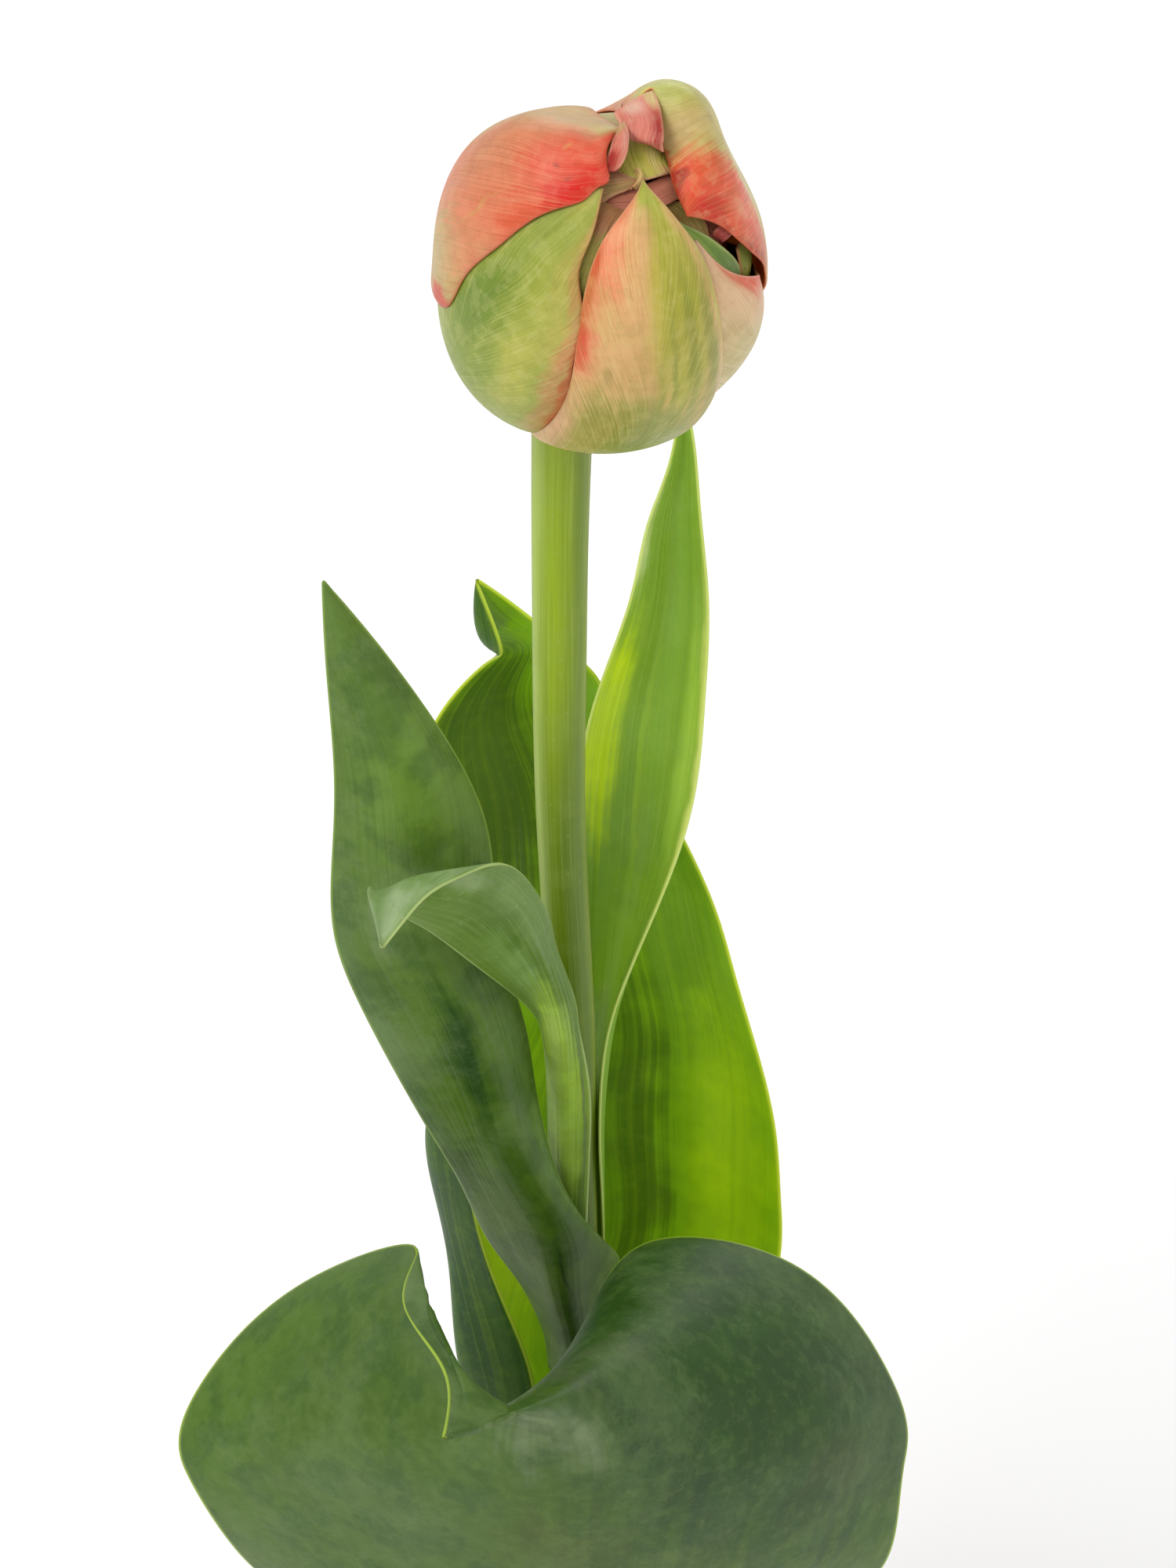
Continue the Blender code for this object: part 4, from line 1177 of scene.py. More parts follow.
INNER_BACK_PETAL = (
    (0.052, 65, 145, -1.3, -1.3, -1.3),
    (0.15, 62, 148, -1.6, -1.2, -1.6),
    (0.28, 60, 150, -1.7, -1.5, -1.7),
    (0.38, 60, 150, -1.7, -1.8, -1.8),
    (0.50, 62, 150, -2.0, -2.6, -2.2),
    (0.60, 62, 150, -2.6, -3.6, -2.8),
    (0.70, 62, 148, -3.2, -5.2, -4.4),
    (0.80, 62, 144, -3.6, -6.2, -6.2),
    (0.88, 66, 136, -4.0, -6.6, -6.6),
    (0.925, 72, 130, -3.8, -6.0, -6.0),
    (0.965, 84, 122, -3.0, -4.6, -4.6),
)
CORE_LEFT_PETAL = (
    (0.05, 165, 222, -3.0, -3.0, -3.0),
    (0.20, 158, 232, -5.2, -4.8, -5.2),
    (0.50, 155, 234, -6.2, -6.0, -6.2),
    (0.75, 156, 234, -6.0, -5.4, -5.2),
    (0.86, 158, 235, -5.0, -4.2, -3.8),
    (0.90, 162, 236.5, -4.4, -3.4, -3.2),
    (0.935, 170, 245.5, -3.8, -3.0, -2.9),
    (0.955, 190, 263.5, -3.2, -2.6, -2.7),
    (0.972, 212, 283.0, -2.6, -2.3, -2.5),
)
CORE_FRONT_PETAL = (
    (0.05, 238, 272, -3.0, -3.0, -3.0),
    (0.20, 218, 274, -3.2, -2.9, -3.2),
    (0.50, 215, 276, -2.6, -2.4, -2.6),
    (0.76, 216, 276, -2.5, -2.3, -2.5),
    (0.84, 219, 274, -2.7, -2.4, -2.5),
    (0.88, 226, 271, -2.9, -2.6, -2.7),
    (0.908, 240, 267, -3.0, -2.9, -3.0),
)
CORE_MIDDLE_PETAL = (
    (0.05, -66, -36, -5.2, -5.2, -5.2),
    (0.20, -76, -32, -4.9, -4.7, -4.9),
    (0.50, -80, -32, -4.4, -4.2, -4.4),
    (0.78, -80, -33, -4.0, -3.6, -3.6),
    (0.82, -80, -29, -4.0, -3.6, -3.4),
    (0.87, -78, -31, -4.0, -3.8, -3.6),
    (0.91, -74, -38, -4.2, -4.1, -4.0),
    (0.935, -66, -50, -4.4, -4.4, -4.4),
)
CORE_RIGHT_PETAL = (
    (0.05, -70, -34, -3.0, -3.0, -3.0),
    (0.20, -74, -24, -2.9, -2.7, -3.0),
    (0.50, -74, -20, -2.9, -2.6, -3.0),
    (0.60, -74, -19, -2.9, -2.5, -2.9),
    (0.66, -72, -21, -3.0, -2.6, -2.8),
    (0.76, -70, -31, -3.0, -2.6, -2.6),
    (0.82, -66, -40, -2.9, -2.5, -2.6),
    (0.865, -54, -51, -2.7, -2.6, -2.6),
)
CORE_FAR_PETAL = (
    (0.05, -14, 36, -3.2, -3.2, -3.2),
    (0.20, -12, 42, -4.2, -4.2, -4.6),
    (0.46, -14, 26, -3.4, -3.4, -3.8),
    (0.566, -18, 4, -2.9, -2.8, -2.9),
    (0.61, -20, -2, -2.8, -2.6, -2.7),
    (0.65, -21, -6.5, -2.7, -2.6, -2.7),
    (0.70, -19, -13, -2.8, -2.8, -2.8),
)

# Petal nets, from foot to tip: each row holds its points' heights, their turns and their lifts
OUTER_RIGHT_PETAL = (
    ((0.05, 0.05, 0.05, 0.05, 0.05, 0.05), (8, 24, 39, 54, 70, 85), (-0.1, -0.1, -0.1, -0.1, -0.1, -0.1)),
    ((0.15, 0.15, 0.15, 0.15, 0.15, 0.15), (10, 26, 41, 57, 73, 90), (0.2, 0.1, 0.1, 0.1, 0.1, 0.0)),
    ((0.28, 0.28, 0.28, 0.28, 0.28, 0.28), (8, 25, 42, 60, 77, 95), (0.5, 0.3, 0.2, 0.1, 0.1, 0.0)),
    ((0.40, 0.40, 0.40, 0.40, 0.40, 0.40), (4, 22, 41, 60, 79, 98), (0.6, 0.4, 0.3, 0.2, 0.1, -0.3)),
    ((0.50, 0.50, 0.50, 0.50, 0.50, 0.50), (-2, 17, 38, 58, 79, 100), (0.3, 0.5, 0.6, 0.6, 0.2, -0.8)),
    ((0.57, 0.57, 0.57, 0.58, 0.58, 0.58), (-8, 12, 35, 57, 79, 97), (-0.2, -0.4, 0.3, 0.9, 0.2, -2.0)),
    ((0.63, 0.64, 0.66, 0.66, 0.66, 0.66), (-12, 10, 33, 57, 78, 93), (-0.4, -1.5, -1.8, 1.2, 0.2, -3.6)),
    ((0.69, 0.71, 0.74, 0.74, 0.74, 0.74), (-18, 7, 31, 57, 77, 91), (-0.7, -1.8, -1.9, 1.1, -0.2, -4.3)),
    ((0.76, 0.79, 0.80, 0.81, 0.81, 0.80), (-24, 1, 30, 57, 77, 93), (-1.1, -0.9, -0.7, 1.6, 0.3, -3.2)),
    ((0.82, 0.84, 0.85, 0.86, 0.85, 0.86), (-31, -5, 28, 56, 77, 95), (-1.1, 0.0, 0.7, 2.6, 1.1, -3.0)),
    ((0.86, 0.89, 0.90, 0.90, 0.885, 0.890), (-42, -14, 22, 54, 78, 96), (-1.0, 1.0, 2.0, 3.6, 1.8, -2.2)),
    (
        (0.868, 0.93, 0.958, 0.955, 0.905, 0.925), (-46, -38, 14, 50, 80, 99),
        (-1.2, -1.4, -2.0, -1.0, 2.2, -1.4),
    ),
)
CORE_BACK_PETAL = (
    ((0.05, 0.05, 0.05, 0.05), (62, 80, 100, 118), (-3.0, -3.0, -3.0, -3.0)),
    ((0.20, 0.20, 0.20, 0.20), (50, 77, 103, 130), (-5.2, -4.8, -4.8, -5.2)),
    ((0.50, 0.50, 0.50, 0.50), (46, 76, 105, 136), (-6.8, -6.8, -6.8, -6.8)),
    ((0.75, 0.75, 0.75, 0.75), (40, 76, 108, 142), (-6.8, -7.2, -7.2, -7.0)),
    ((0.88, 0.88, 0.88, 0.88), (30, 72, 110, 146), (-5.2, -5.8, -6.0, -5.6)),
    ((0.925, 0.945, 0.945, 0.935), (18, 70, 112, 150), (-4.0, -4.0, -4.2, -4.4)),
    ((0.945, 0.982, 0.985, 0.960), (6, 40, 130, 175), (-3.2, -2.9, -3.0, -3.8)),
    ((0.940, 0.965, 0.969, 0.968), (-9, -44, -84, -128), (-2.9, -2.5, -2.5, -3.0)),
)
CORE_TOP_PETAL = (
    ((0.05, 0.05, 0.05), (-25, 5, 30), (-5.2, -5.2, -5.2)),
    ((0.20, 0.20, 0.20), (-25, 5, 35), (-5.8, -6.0, -6.0)),
    ((0.50, 0.50, 0.50), (-26, 5, 36), (-6.0, -6.4, -6.6)),
    ((0.75, 0.75, 0.75), (-28, 0, 30), (-5.6, -6.0, -6.4)),
    ((0.88, 0.88, 0.90), (-31, -12, 10), (-4.4, -4.8, -5.0)),
    ((0.906, 0.925, 0.94), (-35, -22, -4), (-3.4, -3.6, -3.8)),
    ((0.912, 0.940, 0.962), (-51, -46, -36), (-3.2, -3.4, -3.6)),
    ((0.916, 0.945, 0.966), (-74, -76, -80), (-3.4, -3.5, -3.7)),
    ((0.908, 0.935, 0.955), (-97, -105, -116), (-3.7, -3.7, -3.9)),
    ((0.893, 0.912, 0.930), (-120, -126, -134), (-3.8, -3.9, -4.0)),
)
# The outer left petal's tip, whose right margin is rolled under
TIP_FOLD = (
    ((0.944, 0.951, 0.956, 0.964), (-145, -137, -131, -129), (-1.0, -0.7, -0.3, 0.0)),
    ((0.953, 0.962, 0.971, 0.980), (-154, -147, -141, -138), (-0.8, -0.4, 0.2, 0.3)),
    ((0.964, 0.973, 0.982, 0.989), (-170, -168, -169, 171), (-0.5, 0.1, 0.6, 0.6)),
    ((0.968, 0.974, 0.978, 0.978), (164, 156, 143, 128), (-0.2, 0.4, 0.8, 0.9)),
    ((0.961, 0.964, 0.965, 0.963), (141, 134, 127, 121), (0.0, 0.5, 0.8, 0.9)),
)
# The outer right petal's hood, seen from inside beside its tip
HOOD_FOLD = (
    ((0.975, 0.985, 0.985, 0.972), (134, 110, 60, 0), (-0.2, -0.8, -0.8, 0.0)),
    ((0.968, 0.980, 0.990, 0.976), (130, 112, 80, 8), (0.4, 0.0, 0.2, 1.0)),
    ((0.960, 0.960, 0.965, 0.972), (127, 107, 85, 28), (0.8, 0.5, 1.0, 1.6)),
    ((0.950, 0.946, 0.948, 0.952), (126, 106, 87, 60), (1.0, 0.9, 1.4, 2.0)),
    ((0.943, 0.934, 0.924, 0.904), (124, 105, 91, 78), (1.1, 1.2, 1.7, 2.0)),
)
# The rolled tip of the left core petal
CORE_CURL = (
    ((0.950, 0.952, 0.950), (-98, -95, -90), (-2.5, -1.9, -2.3)),
    ((0.960, 0.962, 0.960), (-90, -86, -80), (-2.3, -1.5, -2.2)),
    ((0.974, 0.975, 0.971), (-86, -79, -72), (-2.3, -1.4, -2.2)),
    ((0.985, 0.985, 0.983), (-94, -86, -76), (-2.4, -1.7, -2.3)),
)
# A small petal that curls up in the hollow on the right
FAR_CURL = (
    ((0.776, 0.761, 0.742), (-28, -26, -24), (-3.8, -3.6, -3.6)),
    ((0.786, 0.772, 0.751), (-26, -25, -23), (-3.0, -2.6, -2.6)),
    ((0.782, 0.772, 0.750), (-22, -21, -20), (-2.6, -2.2, -2.2)),
    ((0.763, 0.749, 0.728), (-18, -17, -16), (-2.8, -2.6, -2.6)),
)


# ---------------------------------------------------------------- the pot, the soil and the bulb


def turned(profile: Array, turns: Array) -> Array:
    """(radius, height) pairs turned round the axis to each angle, (pairs, angles, 3)."""
    radius = profile[:, :1]
    heights = np.repeat(profile[:, 1:], len(turns), axis=1)
    return np.stack([radius * np.cos(turns)[None], radius * np.sin(turns)[None], heights], axis=-1)


@dataclass(frozen=True)
class ClayPot:
    """A tapered clay pot with a thick rim and three drain holes round the middle of its floor."""

    height: float = 96.0
    foot_radius: float = 37.0
    top_radius: float = 50.0
    wall: float = 4.0
    floor: float = 5.0
    rim_height: float = 20.0
    rim_proud: float = 3.0
    drain_radius: float = 4.0
    drain_circle: float = 22.0
    sides: int = 192
    foot_edge: float = 1.0
    shoulder_edge: float = 0.8
    rim_edge: float = 1.6
    rim_slope: float = 0.4
    arc_steps: int = 7
    run_steps: int = 40
    turning: Rows = ((0.05, 2.1, 0.0), (0.03, 5.3, 1.0))

    def inner_radius(self, height: float) -> float:
        """The inner wall's radius at a height: it tapers evenly from the rim to the floor."""
        share = (height - self.floor) / (self.height - self.floor)
        foot = self.foot_radius - self.wall
        return foot + (self.top_radius - self.wall - foot) * share

    def wall_profile(self) -> Array:
        """The wall's outline from the foot up the outside, over the rim and down to the floor inside.

        Straight runs join at corners that are rounded by arcs, and the outside below the rim carries
        faint turning rings: sines of the height, each with its depth, its turns a millimetre in
        radians and its start.

        Returns:
            (radius, height) pairs, (P, 2).
        """
        below = self.height - self.rim_height
        outer = self.foot_radius + (self.top_radius - self.foot_radius) * below / self.height
        proud = self.top_radius + self.rim_proud
        inside = self.top_radius - self.wall
        corners = (
            (self.foot_radius, 0.0, self.foot_edge),
            (outer, below, self.shoulder_edge),
            (outer + self.rim_proud, below + self.rim_slope, self.foot_edge),
            (proud, self.height, self.rim_edge),
            (inside, self.height, self.rim_edge),
            (self.inner_radius(self.floor), self.floor, 0.0),
        )
        points = [np.array([(self.foot_radius - self.foot_edge, 0.0)])]
        run = np.linspace(0.0, 1.0, self.run_steps)[1:, None]
        for (r0, z0, _), (r1, z1, size), (r2, z2, _) in zip(corners, corners[1:], corners[2:]):
            corner, before, after = np.array((r1, z1)), np.array((r0, z0)), np.array((r2, z2))
            enter = corner + unit(before - corner) * size
            leave = corner + unit(after - corner) * size
            t = np.linspace(0.0, 1.0, self.arc_steps)[:, None]
            arc = enter * (1 - t) ** 2 + corner * 2 * t * (1 - t) + leave * t**2
            points.append(points[-1][-1] + (arc[0] - points[-1][-1]) * run[:-1])
            points.append(arc)
        last = np.array((self.inner_radius(self.floor), self.floor))
        points.append(points[-1][-1] + (last - points[-1][-1]) * run)
        profile = np.concatenate(points)
        rings = sum(deep * np.sin(profile[:, 1] * rate + start) for deep, rate, start in self.turning)
        plain = (profile[:, 1] > 3.0) & (profile[:, 1] < below - 2.0)
        profile[:, 0] += rings * plain
        return profile

    def floor_sector(self, middle: float, reach: float, level: float) -> Array:
        """One third of the floor as rings that spread from a drain hole to the third's border.

        The border runs out along one straight side from the pot's middle, round the edge by 120
        degrees and back along the other side. Ring k lies a share k of the way from the hole's
        circle to the border, point by point, so the rings change from round to wedge shaped.

        Args:
            middle: the angle of the drain hole's middle, in radians.
            reach: the radius of the floor's edge.
            level: the height of this face of the floor.

        Returns:
            The rings, (rings, points, 3).
        """
        steps = self.sides // 3
        arc_turn = middle + np.linspace(-np.pi / 3, np.pi / 3, steps + 1)
        arc = np.stack([np.cos(arc_turn), np.sin(arc_turn)], -1) * reach
        share = np.linspace(0.0, 1.0, steps // 2 + 1)[:, None]
        border = np.concatenate([(arc[0] * share)[:-1], arc[:-1], (arc[-1] * (1.0 - share))[:-1]])
        hole_middle = np.array([np.cos(middle), np.sin(middle)]) * self.drain_circle
        away = border - hole_middle
        circle = hole_middle + unit(away) * self.drain_radius
        blend = np.linspace(0.0, 1.0, 14)[:, None, None]
        flat = circle + (border - circle) * blend
        return np.concatenate([flat, np.full((*flat.shape[:2], 1), level)], axis=-1)

    def shell(self) -> Shell:
        """The wall turned round the axis, the floor's upper and lower faces, and the drain walls."""
        profile = self.wall_profile()
        wall = turned(profile, even_turns(self.sides) + np.pi / 2 - np.pi / 3)
        points = [wall.reshape(-1, 3)]
        faces = [grid_faces(len(profile), self.sides, True)]
        start = points[0].shape[0]
        for k in range(3):
            middle = 2 * np.pi * k / 3 + np.pi / 2
            upper = self.floor_sector(middle, self.inner_radius(self.floor), self.floor)
            lower = self.floor_sector(middle, self.foot_radius - self.foot_edge, 0.0)
            rings, count = upper.shape[:2]
            drain = np.stack([lower[0], upper[0]])
            for sheet, flipped in ((upper, True), (lower, False), (drain, True)):
                face = grid_faces(len(sheet), count, True) + start
                faces.append(face[:, ::-1] if flipped else face)
                points.append(sheet.reshape(-1, 3))
                start += sheet.shape[0] * count
        cloud = np.concatenate(points)
        around = np.arctan2(cloud[:, 1], cloud[:, 0]) / (2 * np.pi) + 0.5
        uv = np.stack([around, cloud[:, 2] / self.height], axis=-1)
        return welded(Shell(cloud, faces, uv))

    def finish(self) -> Material:
        """Fired clay: sandy grain, darker damp low down, pale salt bloom, and rubbed lighter edges."""
        bench = Bench("fired_clay")
        place = bench.place()
        sand = bench.noise(place, 900.0, 3.0)
        cloud = bench.noise(place, 28.0, 5.0, 0.6)
        patch = bench.noise(place, 75.0, 5.0, 0.7)
        rise = bench.split(place)[2]
        rings = bench.noise(bench.stretched(place, (6.0, 6.0, 900.0)), 1.0, 3.0)
        pit = bench.step(bench.cells(place, 520.0), 0.22, 0.05) * bench.step(patch, 0.45, 0.7)
        damp = bench.step(rise + (cloud - 0.5) * 0.03, 0.036, 0.004)
        salt = bench.step(patch * 0.7 + cloud * 0.3, 0.62, 0.86)
        band = bench.near(rise, 0.052, 0.03) * 0.75 + 0.15
        rub = bench.step(rise, 0.0925, 0.096) * bench.step(sand, 0.2, 0.8)
        colour = bench.coats(
            bench.mix(cloud, tint(176, 98, 66), tint(196, 118, 82)),
            (bench.step(sand, 0.5, 1.0) * 0.35, tint(214, 146, 108)),
            (rings * 0.18, tint(154, 80, 52)),
            (damp * 0.55, tint(126, 66, 44)),
            (salt * band, tint(226, 206, 188)),
            (rub * 0.4, tint(222, 160, 124)),
            (pit * 0.6, tint(96, 48, 32)),
        )
        normal = bench.bump(rings, 0.08, 0.5)
        normal = bench.bump(sand, 0.05, 0.7, normal)
        normal = bench.bump(1.0 - pit, 0.12, 0.6, normal)
        rough = 0.9 - salt * 0.06 - damp * 0.18
        return bench.finish(colour, rough, normal, Specular_IOR_Level=0.3)

    def build(self) -> Thing:
        """Builds and dresses the pot."""
        return self.shell().make("pot_skin", self.finish(), ("pot",), "pot")


def welded(shell: Shell) -> Shell:
    """The shell with points that lie within a thousandth of a millimetre made one."""
    keys = np.round(shell.points, 3)
    _, first, index = np.unique(keys, axis=0, return_index=True, return_inverse=True)
    index = index.reshape(-1)
    faces = [index[face] for face in shell.faces]
    return Shell(shell.points[first], faces, shell.uv[first])


def value_noise(x: Array, y: Array, cell: float, seed: int) -> Array:
    """Noise from 0 to 1 over a plane: random corners of square cells, blended by smooth steps."""
    corners = np.random.default_rng(seed).random((NOISE_CORNERS, NOISE_CORNERS))
    column, row = x / cell + NOISE_CORNERS / 2, y / cell + NOISE_CORNERS / 2
    i, j = np.floor(row).astype(int), np.floor(column).astype(int)
    s, t = row - i, column - j
    s, t = s * s * (3 - 2 * s), t * t * (3 - 2 * t)
    i, j = i % (NOISE_CORNERS - 1), j % (NOISE_CORNERS - 1)
    low = corners[i, j] * (1 - t) + corners[i, j + 1] * t
    high = corners[i + 1, j] * (1 - t) + corners[i + 1, j + 1] * t
    return low * (1 - s) + high * s


@dataclass(frozen=True)
class Bulb:
    """The bulb: a round belly in the soil, drawn in to a short neck, with a dry papery skin."""

    radius: float = 17.0
    bottom: float = 46.0
    top: float = 88.0
    neck_radius: float = 5.0
    rings: int = 90
    sides: int = 96
    gap: float = 0.2
    nose: float = 2.0
    folds: Rows = ((0.12, 17, 0.04), (0.1, 9, -0.06))

    def radius_at(self, height: Array) -> Array:
        """The radius at a height: neck + (radius - neck) * sin(pi * share^0.75)^0.7."""
        share = np.clip((height - self.bottom) / (self.top - self.bottom), 0.0, 1.0)
        belly = np.maximum(np.sin(np.pi * share**0.75), 0.0) ** 0.7
        return self.neck_radius + (self.radius - self.neck_radius) * belly

    def shell(self) -> Shell:
        """Rings up the bulb, whose radius carries fine folds: each a height, a count and a lean."""
        height = np.linspace(self.bottom, self.top, self.rings)[:, None]
        around = even_turns(self.sides)[None, :]
        folds = sum(high * np.sin(count * around + lean * height) for high, count, lean in self.folds)
        close = np.clip((self.top - height) / self.nose, 0.0, 1.0)
        reach = self.radius_at(height) - self.gap * close + folds * close
        rings = np.stack([reach * np.cos(around), reach * np.sin(around), height + 0 * around], axis=-1)
        return tube(rings)

    def finish(self) -> Material:
        """Brown papery skin with darker veins that run up it and paler flakes."""
        bench = Bench("bulb_skin")
        u, v = bench.chart()
        place = bench.place()
        veins = bench.noise(bench.vector(u * 60.0, v * 4.0), 1.0, 4.0)
        flakes = bench.noise(place, 240.0, 4.0, 0.7)
        colour = bench.mix(veins, tint(104, 60, 30), tint(168, 112, 66))
        colour = bench.mix(bench.step(flakes, 0.6, 0.9) * 0.6, colour, tint(204, 168, 122))
        normal = bench.bump(veins, 0.2, 0.7)
        normal = bench.bump(flakes, 0.15, 0.6, normal)
        return bench.finish(colour, 0.5 + flakes * 0.2, normal)

    def build(self) -> Thing:
        """Builds and dresses the bulb."""
        return self.shell().make("bulb_skin", self.finish(), ("bulb",), "bulb")


@dataclass(frozen=True)
class PottingSoil:
    """Soil that fills the pot up to its top level, with a pocket for the bulb."""

    top: float = 85.0
    wave: float = 1.2
    gap: float = 0.4
    bulb_gap: float = 0.5
    rings: int = 96
    sides: int = 288
    crumbs: int = 420
    grains: int = 46
    crumb_noise: tuple[tuple[float, int, float], ...] = ((4.2, 3, 1.1), (2.1, 5, 0.8))
    grain_noise: tuple[tuple[float, int, float], ...] = ((1.1, 7, 0.5), (0.6, 9, 0.3))
    crumb_sizes: tuple[float, float] = (0.9, 3.4)
    grain_sizes: tuple[float, float] = (1.2, 2.6)
    lift: float = 0.3
    bare: float = 9.0
    lump_reach: tuple[float, float] = (12.5, 3.2)
    lump_power: float = 2.2

    def level(self, x: Array, y: Array, edge: float) -> Array:
        """The height of the surface.

        Low waves round and across the pot die out at the wall and at the middle. Four sizes of noise
        lie on them, each with its cell, its seed and its height, and the larger two are folded about
        their middle so that they make crumbs.

        Args:
            x: places across.
            y: places from front to back.
            edge: the inner wall's radius at the surface.

        Returns:
            The heights.
        """
        radius, angle = np.hypot(x, y), np.arctan2(y, x)
        fade = np.sin(np.pi * np.clip(radius / edge, 0.0, 1.0))
        low = np.sin(3 * angle + radius / 7) + 0.7 * np.sin(5 * angle - radius / 4)
        crumb = np.zeros_like(radius)
        for cell, seed, high in self.crumb_noise:
            crumb = crumb + high * (1 - np.abs(2 * value_noise(x, y, cell, seed) - 1)) - high / 2
        for cell, seed, high in self.grain_noise:
            crumb = crumb + high * value_noise(x, y, cell, seed) - high / 2
        settle = np.clip((edge - self.lift - radius) / 3.0, 0.0, 1.0)
        settle = settle * np.clip((radius - self.bare) / 2.5, 0.0, 1.0)
        return self.top + self.wave * fade * low * 0.8 + crumb * 0.75 * settle

    def shell(self, pot: ClayPot, bulb: Bulb) -> Shell:
        """Rings up the side, in over the surface and down the bulb's pocket."""
        edge, foot = pot.inner_radius(self.top) - self.gap, pot.inner_radius(pot.floor) - self.gap
        mouth = float(bulb.radius_at(np.array(self.top))) + self.bulb_gap
        depth = np.linspace(self.top, bulb.bottom, 30)
        side = np.stack([np.linspace(foot, edge, 12), np.linspace(pot.floor + self.lift, self.top, 12)], -1)
        over = np.stack([np.linspace(edge, mouth, self.rings), np.full(self.rings, self.top)], -1)
        pocket = np.stack([bulb.radius_at(depth) + self.bulb_gap, depth], -1)
        last = np.array([[pocket[-1, 0], bulb.bottom - self.lift]])
        profile = np.concatenate([side[:-1], over[:-1], pocket, last])
        rings = turned(profile, even_turns(self.sides))
        top = rings[len(side) : len(side) + self.rings - 3]
        top[..., 2] = self.level(top[..., 0], top[..., 1], edge)
        return self.charted(tube(rings))

    def charted(self, shell: Shell) -> Shell:
        """The shell with its chart laid flat from above, 100 mm to one."""
        return replace(shell, uv=shell.points[:, :2] / 100.0 + 0.5)

    def lumps(self, count: int, small: float, large: float, seed: int, pot: ClayPot) -> Shell:
        """Loose lumps on the surface: each a rough ball of six rings of nine points.

        A lump's point is its middle plus a ball's point, stretched by three sizes, turned about Z and
        pushed in or out by up to a fifth. Lumps lie a third deep in the surface.

        Args:
            count: how many lumps.
            small: least size.
            large: greatest size.
            seed: the generator's seed.
            pot: the pot that they lie in.

        Returns:
            All the lumps as one shell.
        """
        draw = np.random.default_rng(seed)
        edge = pot.inner_radius(self.top) - self.gap
        inner, margin = self.lump_reach
        radius = np.sqrt(draw.uniform(inner**2, (edge - margin) ** 2, count))
        angle = draw.uniform(0.0, 2 * np.pi, count)
        x, y = radius * np.cos(angle), radius * np.sin(angle)
        size = small + (large - small) * draw.random(count) ** self.lump_power
        z = self.level(x, y, edge) + size * 0.15
        up = np.linspace(-0.5 * np.pi, 0.5 * np.pi, 8)[1:-1]
        ball = turned(np.stack([np.cos(up), np.sin(up)], -1), even_turns(9))
        stretch = draw.uniform(0.6, 1.15, (count, 1, 1, 3))
        rough = draw.uniform(0.8, 1.1, (count, *ball.shape[:2], 1))
        lump = ball[None] * stretch * rough * 0.5 * size[:, None, None, None]
        lump = lump + np.stack([x, y, z], -1)[:, None, None, :]
        face = grid_faces(6, 9, True)
        caps = np.stack([np.arange(9)[::-1], np.arange(9) + 45])
        start = (np.arange(count) * 54)[:, None, None]
        faces = [(face[None] + start).reshape(-1, 4), (caps[None] + start).reshape(-1, 9)]
        points = lump.reshape(-1, 3)
        return self.charted(Shell(points, faces, points[:, :2]))

    def earth(self) -> Material:
        """Dark damp peat with brown crumbs and a few pale fibres."""
        bench = Bench("potting_earth")
        place = bench.place()
        cloud = bench.noise(place, 60.0, 4.0)
        crumb = bench.noise(place, 420.0, 5.0, 0.7)
        grit = bench.cells(place, 900.0)
        fibre = bench.noise(bench.stretched(place, (2400.0, 160.0, 600.0), 0.7), 1.0, 2.0)
        colour = bench.coats(
            bench.mix(cloud, tint(44, 32, 24), tint(66, 48, 34)),
            (bench.step(crumb, 0.4, 1.0) * 0.7, tint(98, 74, 52)),
            (bench.step(grit, 0.2, 0.05) * 0.3, tint(120, 100, 80)),
            (bench.step(fibre, 0.9, 1.0) * 0.4, tint(150, 122, 86)),
            (bench.step(crumb, 0.35, 0.05) * 0.7, tint(22, 16, 12)),
        )
        normal = bench.bump(crumb, 0.5, 0.9)
        normal = bench.bump(grit, 0.15, 0.6, normal)
        return bench.finish(colour, 0.95 - cloud * 0.12, normal, Specular_IOR_Level=0.25)

    def perlite(self) -> Material:
        """Pale foamed grains, stained by the soil in their pits."""
        bench = Bench("perlite")
        place = bench.place()
        foam = bench.noise(place, 1500.0, 4.0, 0.7)
        stain = bench.noise(place, 300.0, 3.0)
        colour = bench.mix(foam, tint(176, 166, 150), tint(230, 226, 216))
        colour = bench.mix(bench.step(stain, 0.55, 0.9) * 0.5, colour, tint(120, 98, 76))
        return bench.finish(colour, 0.85 + foam * 0.1, bench.bump(foam, 0.12, 0.8))

    def build(self, pot: ClayPot, bulb: Bulb) -> list[bpy.types.Object]:
        """Builds and dresses the soil, its loose crumbs and its pale grains."""
        earth = self.earth()
        return [
            self.shell(pot, bulb).make("soil_skin", earth, ("soil",), "soil"),
            self.lumps(self.crumbs, *self.crumb_sizes, 11, pot).make("soil_crumbs", earth, (), "soil"),
            self.lumps(self.grains, *self.grain_sizes, 23, pot).make("soil_grains", self.perlite(), (), "soil"),
        ]


# ---------------------------------------------------------------- finishes of this plant

